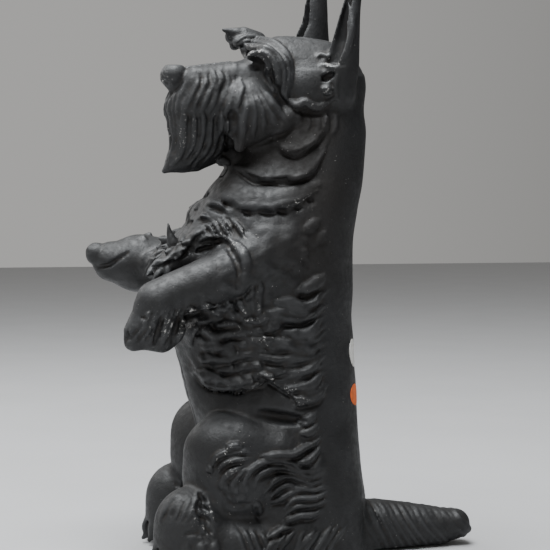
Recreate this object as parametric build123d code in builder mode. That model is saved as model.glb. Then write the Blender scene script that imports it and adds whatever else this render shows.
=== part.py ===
"""Cast-iron door stop in the form of a terrier sitting up to beg.

The dog is a hollow casting in two halves, which meet on a parting surface along its middle and are pulled together by
three slotted machine screws. Two steel pins line the halves up, and four rubber studs under it keep the iron off the
floor. Millimetres, +Z up; the dog looks along -X, its left side is -Y, and the origin is on the floor under the middle.
"""

import math
import os

from build123d import *

# Driving dimensions
WALL = 6.0  # iron wall between the skin and the hollow
BASE = 1.5  # height of the iron's underside above the floor, which the studs set
PARTING_GAP = 0.1  # air between the two halves' mating faces
NECK_STEP = 244.0  # height where the parting surface turns with the head
HEAD_PIVOT = (20.0, 0.0, 285.0)  # the head turns and tilts about this point
HEAD_TURN = 8.0  # degrees towards the dog's left
HEAD_TILT = 7.0  # degrees, left side down
REACH = 250.0  # larger than the dog in every direction from its middle

# Torso: height, front, back, half width
TORSO = (
    (0.0, -50.0, 52.0, 50.0),
    (33.0, -53.0, 51.5, 51.0),
    (62.0, -56.0, 48.5, 49.0),
    (91.0, -60.0, 46.0, 45.0),
    (120.0, -68.0, 44.5, 43.0),
    (150.0, -73.0, 43.5, 44.0),
    (185.0, -71.0, 43.0, 46.0),
    (212.0, -65.0, 45.0, 46.0),
    (230.0, -55.0, 47.5, 43.0),
    (248.0, -40.0, 50.5, 38.0),
    (275.0, -26.0, 52.5, 33.0),
    (300.0, -12.0, 48.0, 28.0),
)
HOLLOW_TOP = 275.0  # the torso's part of the hollow stops at this station, inside the skull's

# Sections across the muzzle and beard: distance ahead of the pivot, middle height above it, half height, half width
MUZZLE = (
    (-101.0, -4.0, 30.0, 8.0),
    (-90.0, -3.0, 34.0, 15.0),
    (-75.0, -1.5, 34.5, 19.0),
    (-58.0, 3.0, 31.0, 24.0),
    (-40.0, 10.0, 25.0, 27.0),
    (-18.0, 16.0, 20.0, 28.0),
)
# Sections up each ear, from its root to its tip: height above the pivot, fore-and-aft place, sideways place,
# fore-and-aft radius, sideways radius
EAR = (
    (2.0, 4.0, 25.0, 9.0, 7.0),
    (14.0, 5.0, 26.0, 14.0, 9.5),
    (33.0, 7.0, 27.0, 13.5, 10.0),
    (50.0, 9.0, 28.0, 11.0, 9.0),
    (70.0, 13.0, 29.0, 7.0, 6.5),
    (86.0, 16.0, 30.0, 3.6, 3.5),
    (92.8, 17.0, 30.2, 1.6, 1.6),
)
# Round sections along each foreleg, from the shoulder to the paw's tip: place, radius
LEFT_FORELEG = (
    ((-12.0, -32.0, 196.0), 22.0),
    ((-42.0, -42.0, 180.0), 18.5),
    ((-68.0, -45.0, 172.0), 16.0),
    ((-90.0, -44.0, 161.0), 16.0),
    ((-105.0, -43.0, 147.0), 9.0),
)
RIGHT_FORELEG = (
    ((-12.0, 32.0, 200.0), 22.0),
    ((-42.0, 40.0, 190.0), 19.0),
    ((-70.0, 43.0, 187.0), 17.5),
    ((-95.0, 43.0, 188.0), 17.0),
    ((-118.26, 42.0, 192.0), 8.0),
)
# Tail sections: place along X, middle height, half height, half width
TAIL = (
    (38.0, 13.0, 20.0, 24.0),
    (60.0, 13.0, 17.0, 19.0),
    (90.0, 11.5, 12.0, 13.5),
    (112.0, 11.0, 9.5, 9.5),
    (123.0, 11.0, 6.5, 6.5),
)
TAIL_TIP = ((117.0, 0.0, 11.0), (1.0, 0.0, 0.0), 9.5, 8.0)

# Eggs on each side: middle (its Y is mirrored), long axis, half length, radius
THIGH = ((-31.0, 31.0, 62.0), (-0.75, 0.0, 0.66), 50.0, 30.0)
HIND_FOOT = ((-70.0, 41.0, 26.0), (-0.45, 0.0, 1.0), 29.0, 20.0)
SOLE = ((-46.0, 40.0, 17.0), (1.0, 0.0, 0.0), 46.0, 19.0)
BROW = ((-43.0, 18.0, 38.0), (-1.0, 0.0, 0.35), 14.0, 8.0)
# Eggs on the middle
SKULL = ((-8.0, 0.0, 20.0), (1.0, 0.0, 0.0), 42.0, 31.0)
NOSE = ((-97.0, 0.0, 21.0), (0.6, 0.0, 1.0), 10.0, 9.0)
BEARD = ((-93.0, 0.0, -5.0), (0.0, 0.0, 1.0), 33.0, 10.0)
MUZZLE_HOLLOW = ((-52.0, 0.0, 6.0), (-1.0, 0.0, -0.12), 36.0, 16.0)

# Fasteners
SCREW_RADIUS = 3.175  # quarter-inch machine screw
THREAD_CLEARANCE = 0.05
SHANK_CLEARANCE = 0.35
HEAD_RADIUS = 6.0
HEAD_HEIGHT = 4.0
SLOT_WIDTH = 1.4
SLOT_DEPTH = 1.6
RECESS_RADIUS = 7.5
BOSS_RADIUS = 10.0
THREAD_DEPTH = 26.0  # how far each screw reaches into the left half
HOLE_BOTTOM = 3.0  # free depth past the screw's end
# Screw name: fore-and-aft place, height, place of the head's seat
SCREWS = {
    "shoulder_screw": (8.0, 224.0, 34.0),
    "waist_screw": (-8.0, 128.0, 34.0),
    "haunch_screw": (14.0, 38.0, 40.0),
}
PIN_RADIUS = 3.0
PIN_LENGTH = 24.0
PIN_CLEARANCE = 0.03
PIN_BOSS_RADIUS = 7.0
PINS = {"upper_locating_pin": (22.0, 178.0), "lower_locating_pin": (-24.0, 78.0)}
STUD_STEM_RADIUS = 3.5
STUD_STEM = 9.0
STUD_HEAD_RADIUS = 6.0
STUD_EDGE = 0.5
STUD_CLEARANCE = 0.05
STUD_PAD_RADIUS = 9.0
STUD_PAD_HEIGHT = 14.0
STUDS = {
    "front_left_stud": (-70.0, -40.0),
    "front_right_stud": (-70.0, 40.0),
    "rear_left_stud": (26.0, -34.0),
    "rear_right_stud": (26.0, 34.0),
}
# Paper labels on the back: middle's sideways place, middle height, half width, half height
LABEL_THICKNESS = 0.2
LABELS = {"white_label": (-17.0, 131.0, 6.5, 9.0), "orange_label": (-18.0, 104.0, 7.0, 7.0)}


def torso_form(grow=0.0, top=None):
    """The torso's loft, with every section moved outwards by grow, up to the station at height top."""
    with BuildPart() as form:
        for height, front, back, half_width in TORSO:
            if top is None or height <= top:
                with BuildSketch(Plane.XY.offset(height)):
                    with Locations(((front + back) / 2, 0)):
                        Ellipse((back - front) / 2 + grow, half_width + grow)
        loft()
    return form.part


def egg(middle, axis, half_length, radius):
    """A solid ellipse of revolution with its long axis along axis."""
    sideways = Vector(axis).cross(Vector(0, 1, 0))
    with BuildPart() as form:
        with BuildSketch(Plane(middle, x_dir=axis, z_dir=sideways)):
            with BuildLine():
                EllipticalCenterArc((0, 0), half_length, radius, start_angle=0, arc_size=180)
                Line((-half_length, 0), (half_length, 0))
            make_face()
        revolve(axis=Axis(middle, axis))
    return form.part


def both_sides(middle, axis, half_length, radius, lift_right=0.0):
    """A pair of eggs, the given one on the right (+Y) and its mirror image on the left."""
    x, y, z = middle
    return [
        egg((x, y, z + lift_right), axis, half_length, radius),
        egg((x, -y, z), axis, half_length, radius),
    ]


def limb(stations):
    """A leg lofted through round sections square to its run, with both ends rounded."""
    places = [Vector(place) for place, radius in stations]
    with BuildPart() as form:
        for i, (place, radius) in enumerate(stations):
            before = places[max(i - 1, 0)]
            after = places[min(i + 1, len(places) - 1)]
            with BuildSketch(Plane(place, z_dir=after - before)):
                Circle(radius)
        loft()
        for place, radius in (stations[0], stations[-1]):
            with Locations(place):
                Sphere(radius * 1.03)
    return form.part


def muzzle_form():
    """Muzzle and beard, lofted through upright sections, about the head's pivot."""
    with BuildPart() as form:
        for ahead, middle, half_height, half_width in MUZZLE:
            with BuildSketch(Plane((ahead, 0, middle), x_dir=(0, 1, 0), z_dir=(1, 0, 0))):
                Ellipse(half_width, half_height)
        loft()
    return form.part


def ear_form(side):
    """One ear about the head's pivot; side is 1 for the right and -1 for the left."""
    with BuildPart() as form:
        for height, along, sideways, radius_along, radius_sideways in EAR:
            with BuildSketch(Plane.XY.offset(height)):
                with Locations((along, side * sideways)):
                    Ellipse(radius_along, radius_sideways)
        loft()
    return form.part


def head_plane():
    """The head's own frame, turned and tilted about its pivot."""
    turn = math.radians(HEAD_TURN)
    tilt = math.radians(HEAD_TILT)
    up = (math.sin(tilt) * math.sin(turn), -math.sin(tilt) * math.cos(turn), math.cos(tilt))
    return Plane(HEAD_PIVOT, x_dir=(math.cos(turn), math.sin(turn), 0), z_dir=up)


def tail_form():
    """The tail, lying along the floor behind the dog."""
    with BuildPart() as form:
        for along, middle, half_height, half_width in TAIL:
            with BuildSketch(Plane((along, 0, middle), x_dir=(0, 1, 0), z_dir=(1, 0, 0))):
                Ellipse(half_width, half_height)
        loft()
        add(egg(*TAIL_TIP))
    return form.part


def skin_form():
    """The whole dog's outer shape, both halves together and solid."""
    with BuildPart() as head:
        add(egg(*SKULL))
        add(muzzle_form())
        add(egg(*NOSE))
        add(egg(*BEARD))
        add(both_sides(*BROW, lift_right=4.0))
        add([ear_form(1), ear_form(-1)])
    with BuildPart() as dog:
        add(torso_form())
        add(both_sides(*THIGH))
        add(both_sides(*HIND_FOOT))
        add(both_sides(*SOLE))
        add(limb(LEFT_FORELEG))
        add(limb(RIGHT_FORELEG))
        add(tail_form())
        add(head_plane() * head.part)
        with Locations((0, 0, BASE)):
            Box(2 * REACH, 2 * REACH, 2 * REACH, align=(Align.CENTER, Align.CENTER, Align.MIN), mode=Mode.INTERSECT)
    return dog.part


def hollow_form():
    """The space inside both halves, open at the underside."""
    middle, axis, half_length, radius = THIGH
    skull_middle, skull_axis, skull_half_length, skull_radius = SKULL
    with BuildPart() as head:
        add(egg(skull_middle, skull_axis, skull_half_length - WALL, skull_radius - WALL))
        add(egg(*MUZZLE_HOLLOW))
    with BuildPart() as hollow:
        add(torso_form(grow=-WALL, top=HOLLOW_TOP))
        add(both_sides(middle, axis, half_length - WALL, radius - WALL))
        add(head_plane() * head.part)
    return hollow.part


def side_region(side):
    """The space on one side of the parting surface: side is 1 for the right and -1 for the left.

    Below the neck step the surface is the plane y = 0. Above it, it turns with the head ahead of the pivot.
    """
    edge = side * PARTING_GAP / 2
    step = NECK_STEP + side * PARTING_GAP / 2
    drift = -(REACH + HEAD_PIVOT[0]) * math.tan(math.radians(HEAD_TURN))
    with BuildPart() as region:
        with BuildSketch(Plane.XY.offset(-REACH)):
            with Locations((0, edge)):
                Rectangle(2 * REACH, REACH, align=(Align.CENTER, Align.MIN if side > 0 else Align.MAX))
        extrude(amount=REACH + step)
        with BuildSketch(Plane.XY.offset(step)):
            with BuildLine():
                Polyline(
                    (-REACH, edge + drift),
                    (HEAD_PIVOT[0], edge),
                    (REACH, edge),
                    (REACH, side * REACH),
                    (-REACH, side * REACH),
                    close=True,
                )
            make_face()
        extrude(amount=REACH)
    return region.part


def rod(place, height, start, end, radius):
    """A round bar across the dog at the given fore-and-aft place and height, from y = start to y = end."""
    with BuildPart() as bar:
        with BuildSketch(Plane((place, start, height), x_dir=(1, 0, 0), z_dir=(0, 1, 0))):
            Circle(radius)
        extrude(amount=end - start)
    return bar.part


def bosses(side):
    """Solid pillars for the screws and pins, from the parting surface out through one half's wall."""
    pillars = []
    for place, height, _seat in SCREWS.values():
        pillars.append(rod(place, height, 0, side * REACH, BOSS_RADIUS))
    for place, height in PINS.values():
        pillars.append(rod(place, height, 0, side * REACH, PIN_BOSS_RADIUS))
    return pillars


def stud_pads():
    """Round pads that stand inside the hollow over each stud."""
    pads = []
    for place in STUDS.values():
        with BuildPart() as pad:
            with BuildSketch(Plane.XY.offset(BASE)):
                with Locations(place):
                    Circle(STUD_PAD_RADIUS)
            extrude(amount=STUD_PAD_HEIGHT)
        pads.append(pad.part)
    return pads


def stud_holes():
    """Blind holes in the underside for the studs' stems."""
    holes = []
    for place in STUDS.values():
        with BuildPart() as hole:
            with BuildSketch(Plane.XY):
                with Locations(place):
                    Circle(STUD_STEM_RADIUS + STUD_CLEARANCE)
            extrude(amount=BASE + STUD_STEM + STUD_CLEARANCE)
        holes.append(hole.part)
    return holes


def casting(skin, inside, side):
    """One half of the dog before its holes are drilled."""
    with BuildPart() as half:
        add(inside)
        add([*bosses(side), *stud_pads()], mode=Mode.SUBTRACT)
        walls = half.part
    with BuildPart() as shell:
        add(skin)
        add(walls, mode=Mode.SUBTRACT)
        add(side_region(side), mode=Mode.INTERSECT)
        add(stud_holes(), mode=Mode.SUBTRACT)
        for place, height in PINS.values():
            length = side * (PIN_LENGTH / 2 + PIN_CLEARANCE)
            add(rod(place, height, 0, length, PIN_RADIUS + PIN_CLEARANCE), mode=Mode.SUBTRACT)
    return shell.part


def write(name, part):
    """Labels a finished piece and writes its STEP file."""
    part.label = name
    export_step(part, f"parts/{name}.step")


os.makedirs("parts", exist_ok=True)
skin = skin_form()
inside = hollow_form()

# The left half: blind threaded bosses, so nothing shows on that side.
with BuildPart() as left_casting:
    add(casting(skin, inside, -1))
    for place, height, _seat in SCREWS.values():
        depth = THREAD_DEPTH + HOLE_BOTTOM
        add(rod(place, height, 0, -depth, SCREW_RADIUS + THREAD_CLEARANCE), mode=Mode.SUBTRACT)
write("left_casting", left_casting.part)

# The right half: clearance holes, with a recess in the outside for each screw's head.
with BuildPart() as right_casting:
    add(casting(skin, inside, 1))
    for place, height, seat in SCREWS.values():
        add(rod(place, height, 0, seat, SCREW_RADIUS + SHANK_CLEARANCE), mode=Mode.SUBTRACT)
        add(rod(place, height, seat, REACH, RECESS_RADIUS), mode=Mode.SUBTRACT)
write("right_casting", right_casting.part)

for name, (place, height, seat) in SCREWS.items():
    across = Plane((place, seat, height), x_dir=(1, 0, 0), z_dir=(0, 1, 0))
    with BuildPart() as screw:
        with BuildSketch(across):
            Circle(HEAD_RADIUS)
        extrude(amount=HEAD_HEIGHT)
        fillet(screw.faces().sort_by(Axis.Y)[-1].edges(), 2.0)
        with BuildSketch(across):
            Circle(SCREW_RADIUS)
        extrude(amount=-(seat + THREAD_DEPTH))
        chamfer(screw.faces().sort_by(Axis.Y)[0].edges(), 0.8)
        with BuildSketch(across.offset(HEAD_HEIGHT - SLOT_DEPTH)):
            Rectangle(4 * HEAD_RADIUS, SLOT_WIDTH, rotation=30)
        extrude(amount=HEAD_HEIGHT, mode=Mode.SUBTRACT)
    write(name, screw.part)

for name, (place, height) in PINS.items():
    with BuildPart() as pin:
        with BuildSketch(Plane((place, -PIN_LENGTH / 2, height), x_dir=(1, 0, 0), z_dir=(0, 1, 0))):
            Circle(PIN_RADIUS)
        extrude(amount=PIN_LENGTH)
        chamfer(pin.edges().filter_by(GeomType.CIRCLE), 0.6)
    write(name, pin.part)

for name, place in STUDS.items():
    with BuildPart() as stud:
        with BuildSketch():
            with Locations(place):
                Circle(STUD_HEAD_RADIUS)
        extrude(amount=BASE)
        fillet(stud.faces().sort_by(Axis.Z)[0].edges(), STUD_EDGE)
        with BuildSketch(Plane.XY.offset(BASE)):
            with Locations(place):
                Circle(STUD_STEM_RADIUS)
        extrude(amount=STUD_STEM)
    write(name, stud.part)

proud = torso_form(grow=LABEL_THICKNESS)
flush = torso_form()
for name, (sideways, height, half_width, half_height) in LABELS.items():
    with BuildPart() as label:
        with BuildSketch(Plane((0, sideways, height), x_dir=(0, 1, 0), z_dir=(1, 0, 0))):
            Ellipse(half_width, half_height)
        extrude(amount=REACH)
        add(proud, mode=Mode.INTERSECT)
        add(flush, mode=Mode.SUBTRACT)
    write(name, label.part)
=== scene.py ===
"""Looks for a cast-iron door stop in the form of a terrier sitting up to beg.

The CAD castings hold the dog's size and stance. Here the dog is modelled again in full, as a sculptor
would build it up: a block of clay on a regular grid is given its body, head, legs and tail, then its coat
is laid on lock by lock. The clay is cut along the castings' parting surface and hollowed, and each half
becomes one mesh.

Places are in design millimetres, those of a dog DESIGN_HEIGHT tall, in the dog's frame: it looks along -X,
its left side is -Y and the floor is z = 0. A place fore and aft is an x, and a height is a z.
"""

import math

import bmesh
import bpy
import numpy as np
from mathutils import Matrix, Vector


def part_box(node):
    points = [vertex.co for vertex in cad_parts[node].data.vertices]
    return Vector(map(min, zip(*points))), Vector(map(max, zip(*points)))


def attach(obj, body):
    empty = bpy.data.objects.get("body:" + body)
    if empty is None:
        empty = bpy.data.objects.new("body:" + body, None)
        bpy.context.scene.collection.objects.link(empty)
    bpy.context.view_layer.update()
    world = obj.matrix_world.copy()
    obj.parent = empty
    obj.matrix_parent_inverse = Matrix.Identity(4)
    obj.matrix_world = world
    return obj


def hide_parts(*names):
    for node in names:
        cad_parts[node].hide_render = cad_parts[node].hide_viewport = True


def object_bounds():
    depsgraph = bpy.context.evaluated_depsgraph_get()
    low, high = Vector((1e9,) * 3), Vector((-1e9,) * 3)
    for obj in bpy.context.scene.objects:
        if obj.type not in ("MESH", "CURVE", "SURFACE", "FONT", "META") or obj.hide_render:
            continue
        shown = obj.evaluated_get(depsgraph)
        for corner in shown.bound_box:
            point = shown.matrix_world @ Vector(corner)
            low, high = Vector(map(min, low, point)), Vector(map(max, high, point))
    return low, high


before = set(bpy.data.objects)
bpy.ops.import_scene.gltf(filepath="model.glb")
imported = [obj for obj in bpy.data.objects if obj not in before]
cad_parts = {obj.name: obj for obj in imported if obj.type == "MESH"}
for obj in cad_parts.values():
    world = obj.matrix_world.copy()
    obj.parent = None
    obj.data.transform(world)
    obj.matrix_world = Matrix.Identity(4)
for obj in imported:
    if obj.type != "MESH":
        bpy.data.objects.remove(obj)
cad_low, cad_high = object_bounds()

DESIGN_HEIGHT = 381.0
MM = (cad_high.z - cad_low.z) / DESIGN_HEIGHT  # metres in one design millimetre
LEFT, RIGHT = -1, 1
SIDES = (LEFT, RIGHT)
X, Y, Z = 0, 1, 2
STEP = 1.0  # the clay's grid
GRID_LOW, GRID_HIGH = (-131, -66, -6), (131, 66, 386)
FAR = 30.0  # distance stored where there is no clay near
MARGIN = 5.0  # how far round a shape its distance is worked out
TINY = 1e-6
FACE_LIMIT = 190_000  # triangles in each casting
RNG = np.random.default_rng(15)  # the coat's small variations


def node_box(node):
    """A CAD node's lowest and highest corners, in design millimetres."""
    low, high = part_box(node)
    return np.array(low) / MM, np.array(high) / MM


# ---- places


class Place:
    """A frame of reference: an origin in the dog's frame, and its own axes as the columns of turn."""

    def __init__(self, origin=(0, 0, 0), turn=None):
        self.origin = np.array(origin, float)
        self.turn = np.eye(3) if turn is None else np.asarray(turn, float)

    def out(self, points):
        """Points of this place, in the dog's frame."""
        return np.asarray(points, float) @ self.turn.T + self.origin

    def inward(self, x, y, z):
        """The dog's coordinates, given as arrays, in this place."""
        dx, dy, dz = (v - o for v, o in zip((x, y, z), self.origin))
        return [self.turn[0, i] * dx + self.turn[1, i] * dy + self.turn[2, i] * dz for i in range(3)]


HEAD_PIVOT = (20, 0, 285)
HEAD_TURN = math.radians(8)
HEAD_TILT = math.radians(7)


def head_place():
    """The head's own frame: it is turned to the dog's left and leans that way."""
    backward = np.array([math.cos(HEAD_TURN), math.sin(HEAD_TURN), 0])
    level = np.array([math.sin(HEAD_TURN), -math.cos(HEAD_TURN), 0])
    up = math.sin(HEAD_TILT) * level + (0, 0, math.cos(HEAD_TILT))
    return Place(HEAD_PIVOT, np.column_stack([backward, np.cross(up, backward), up]))


DOG = Place()
HEAD = head_place()


# ---- forms


class Form:
    """A shape as a distance function of the dog's coordinates, and the box that holds it."""

    def __init__(self, low, high, distance):
        self.low = np.asarray(low, float)
        self.high = np.asarray(high, float)
        self.distance = distance


def egg(middle, radii, place=DOG, tilt=0.0):
    """An ellipsoid; tilt turns it about the place's y axis, in degrees, its front end down."""
    c, s = math.cos(math.radians(tilt)), math.sin(math.radians(tilt))
    own = Place(place.out(middle), place.turn @ np.array([[c, 0, -s], [0, 1, 0], [s, 0, c]]))
    radii = np.array(radii, float)
    reach = np.sqrt(((own.turn * radii) ** 2).sum(1))

    def distance(x, y, z):
        u, v, w = own.inward(x, y, z)
        near = np.sqrt((u / radii[0]) ** 2 + (v / radii[1]) ** 2 + (w / radii[2]) ** 2) + TINY
        steep = np.sqrt((u / radii[0] ** 2) ** 2 + (v / radii[1] ** 2) ** 2 + (w / radii[2] ** 2) ** 2) + TINY
        return near * (near - 1) / steep

    return Form(own.origin - reach, own.origin + reach, distance)


def limb(points, radii, place=DOG):
    """A run of round bars through points, each tapering from one radius to the next."""
    points = place.out(points)
    radii = np.asarray(radii, float)

    def distance(x, y, z):
        best = None
        for a, b, ra, rb in zip(points[:-1], points[1:], radii[:-1], radii[1:]):
            run = b - a
            dx, dy, dz = x - a[0], y - a[1], z - a[2]
            t = np.clip((dx * run[0] + dy * run[1] + dz * run[2]) / max(run @ run, 1e-9), 0, 1)
            away = np.sqrt((dx - t * run[0]) ** 2 + (dy - t * run[1]) ** 2 + (dz - t * run[2]) ** 2)
            gap = away - ra - t * (rb - ra)
            best = gap if best is None else np.minimum(best, gap)
        return best

    grow = radii.max()
    return Form(points.min(0) - grow, points.max(0) + grow, distance)


LOFT_LEVELS = 400
LOFT_SOFTNESS = 25  # levels over which a loft's sections are averaged, an odd number


def loft(stations, place=DOG, squareness=2.0):
    """Sections along the place's z axis: height, middle x, middle y, x radius, y radius.

    They are ellipses where squareness is 2, and it is cut flat at each end.
    """
    table = np.array(stations, float)
    heights = np.linspace(table[0, 0], table[-1, 0], LOFT_LEVELS)
    weights = np.hanning(LOFT_SOFTNESS + 2)[1:-1]
    columns = []
    for column in table[:, 1:].T:
        plain = np.interp(heights, table[:, 0], column)
        ends = np.pad(plain, LOFT_SOFTNESS // 2, mode="reflect", reflect_type="odd")
        columns.append(np.convolve(ends, weights / weights.sum(), mode="valid"))
    wide = np.abs(table[:, 1:3]).max(0) + table[:, 3:5].max(0)
    ways = ((-1, -1), (-1, 1), (1, -1), (1, 1))
    corners = place.out([(a * wide[0], b * wide[1], height) for a, b in ways for height in heights[[0, -1]]])

    def distance(x, y, z):
        u, v, w = place.inward(x, y, z)
        mx, my, rx, ry = (np.interp(w, heights, column) for column in columns)
        p, q = np.abs(u - mx) / rx, np.abs(v - my) / ry
        share = (p**squareness + q**squareness) ** (1 / squareness)
        side = (share - 1) * np.minimum(rx, ry)
        return np.maximum(side, np.maximum(heights[0] - w, w - heights[-1]))

    return Form(corners.min(0), corners.max(0), distance)


def rod(place, height, start, end, radius):
    """A round bar across the dog, from y = start to y = end."""
    low_y, high_y = min(start, end), max(start, end)

    def distance(x, y, z):
        return np.maximum(np.hypot(x - place, z - height) - radius, np.maximum(low_y - y, y - high_y))

    return Form((place - radius, low_y, height - radius), (place + radius, high_y, height + radius), distance)


def post(x, y, low, high, radius):
    """An upright round bar."""

    def distance(px, py, pz):
        return np.maximum(np.hypot(px - x, py - y) - radius, np.maximum(low - pz, pz - high))

    return Form((x - radius, y - radius, low), (x + radius, y + radius, high), distance)


# ---- clay


def soft_minimum(a, b, blend):
    """The smaller of two distances, with a fillet of about that many millimetres between the two shapes."""
    if blend <= 0:
        return np.minimum(a, b)
    mix = np.maximum(blend - np.abs(a - b), 0) / blend
    return np.minimum(a, b) - mix * mix * blend / 4


class Clay:
    """The distance to the dog's skin on a regular grid, negative inside."""

    def __init__(self, low, high, step):
        self.low = np.array(low, float)
        self.step = step
        size = tuple(int(math.ceil(s - TINY)) + 1 for s in (np.array(high) - self.low) / step)
        self.field = np.full(size, FAR, np.float32)

    def high(self):
        """The grid's far corner."""
        return self.low + self.step * (np.array(self.field.shape) - 1)

    def another(self, field=None):
        """A second block on the same grid, with a copy of that field or with nothing in it."""
        twin = Clay(self.low, self.high(), self.step)
        if field is not None:
            twin.field = field.copy()
        return twin

    def everywhere(self):
        """The coordinates of all the grid's points."""
        return self.window(self.low, self.high())[1]

    def window(self, low, high):
        """The part of the grid between two corners, as slices and as the coordinates of its points."""
        first = np.maximum(np.floor((low - self.low) / self.step).astype(int), 0)
        last = np.minimum(np.ceil((high - self.low) / self.step).astype(int) + 1, self.field.shape)
        axes = [self.low[i] + self.step * np.arange(first[i], last[i], dtype=np.float32) for i in range(3)]
        index = tuple(slice(a, max(a, b)) for a, b in zip(first, last))
        return index, np.meshgrid(*axes, indexing="ij", sparse=True)

    def add(self, form, blend=0.0):
        """Adds a shape, filleted to what is there."""
        index, points = self.window(form.low - blend - MARGIN, form.high + blend + MARGIN)
        shape = form.distance(*points).astype(np.float32)
        self.field[index] = soft_minimum(self.field[index], shape, blend)

    def cut(self, form, blend=0.0):
        """Takes a shape away, with a rounded rim."""
        index, points = self.window(form.low - blend - MARGIN, form.high + blend + MARGIN)
        shape = form.distance(*points).astype(np.float32)
        self.field[index] = -soft_minimum(-self.field[index], shape, blend)

    def read(self, points):
        """Distances at any points, between the grid's own."""
        where = (np.asarray(points, float) - self.low) / self.step
        top = np.array(self.field.shape) - 2
        cell = np.clip(np.floor(where).astype(int), 0, top)
        part = np.clip(where - cell, 0, 1)
        total = 0.0
        for corner in np.ndindex(2, 2, 2):
            weight = np.prod(np.where(corner, part, 1 - part), axis=-1)
            at = cell + corner
            total = total + weight * self.field[at[..., 0], at[..., 1], at[..., 2]]
        return total

    def normal(self, points, reach=2.0):
        """Outward directions at any points."""
        rises = [self.read(points + reach * axis) - self.read(points - reach * axis) for axis in np.eye(3)]
        slope = np.stack(rises, axis=-1)
        return slope / np.maximum(np.linalg.norm(slope, axis=-1, keepdims=True), TINY)

    def settle(self, points, rounds=3):
        """Moves points on to the skin."""
        for _ in range(rounds):
            points = points - self.normal(points) * np.clip(self.read(points), -3, 3)[..., None]
        return points

    def from_side(self, side, flat, place=DOG, start=75.0):
        """Puts points given as (x, z) of a place on the skin, as seen from that place's left or right."""
        flat = np.asarray(flat, float)
        local = np.column_stack([flat[:, 0], np.full(len(flat), side * start), flat[:, 1]])
        places, found = self.strike(place.out(local), -side * place.turn[:, 1], 2 * start)
        return places[found]

    def strike(self, points, heading, length):
        """Where lines from points, along a heading, first meet the clay, and which of them do."""
        travel = np.arange(0, length, 0.5)
        lines = np.asarray(points)[:, None, :] + travel[:, None] * heading
        solid = self.read(lines) < 0
        hit = solid.argmax(1)
        return self.settle(lines[np.arange(len(lines)), hit], 2), solid.any(1)


def curve(points, spacing=2.0):
    """A smooth line through points, resampled evenly."""
    points = np.asarray(points, float)
    if len(points) == 2:
        fine = np.linspace(points[0], points[1], 24)
    else:
        padded = np.vstack([2 * points[0] - points[1], points, 2 * points[-1] - points[-2]])
        runs = []
        for p0, p1, p2, p3 in zip(padded, padded[1:], padded[2:], padded[3:]):
            t = np.linspace(0, 1, 16, endpoint=False)[:, None]
            bend = (2 * p0 - 5 * p1 + 4 * p2 - p3) * t**2 + (3 * p1 - p0 - 3 * p2 + p3) * t**3
            runs.append(0.5 * (2 * p1 + (p2 - p0) * t + bend))
        fine = np.vstack([*runs, points[-1:]])
    length = np.concatenate([[0], np.cumsum(np.linalg.norm(np.diff(fine, axis=0), axis=1))])
    count = max(3, int(round(length[-1] / spacing)) + 1)
    even = np.linspace(0, length[-1], count)
    return np.column_stack([np.interp(even, length, fine[:, i]) for i in range(fine.shape[1])])


# ---- the dog's masses

# Torso: height, front, back, half width
TORSO = (
    (-6, -46, 52.5, 50),
    (33, -52, 51.5, 51),
    (62, -56, 48.5, 49),
    (91, -61, 46, 45),
    (120, -69, 44.5, 43),
    (150, -77, 42.7, 44),
    (185, -73, 42.2, 46),
    (212, -66, 43.8, 46),
    (230, -55, 47, 43.5),
    (248, -40, 50.5, 40),
    (275, -26, 52, 37.5),
    (306, -12, 46, 30),
)
TORSO_SQUARENESS = 2.15
# An ear in the head's frame: height, place fore and aft, place sideways, and the radius each way
EAR = (
    (0, 1, 25, 9, 7),
    (14, 2.5, 27, 11.5, 9.5),
    (30, 4, 28, 11.5, 10),
    (46, 6, 28.5, 9, 9),
    (60, 7.7, 29, 6.8, 7.5),
    (74, 9.5, 29, 5.2, 5.8),
    (87, 11.5, 28.5, 3.6, 3.4),
    (95, 12.5, 28, 1.2, 1.2),
)
EAR_WALL = 3.4
EAR_MOUTH = 5.0  # how far the ear's hollow is moved out of its middle
EAR_FACES = {LEFT: math.radians(28), RIGHT: 0.0}  # how far out from straight ahead each ear opens
FAR_FOOT_BACK = 4  # the right knee and foot are a little behind the left ones
FAR_BROW_LIFT = 8.0


def torso(grow=0.0, top=None):
    """The torso and neck, its sections moved outwards by grow."""
    sections = []
    for height, front, back, half_width in TORSO:
        if top is None or height <= top:
            sections.append((height, (front + back) / 2, 0, (back - front) / 2 + grow, half_width + grow))
    return loft(sections, squareness=TORSO_SQUARENESS)


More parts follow.
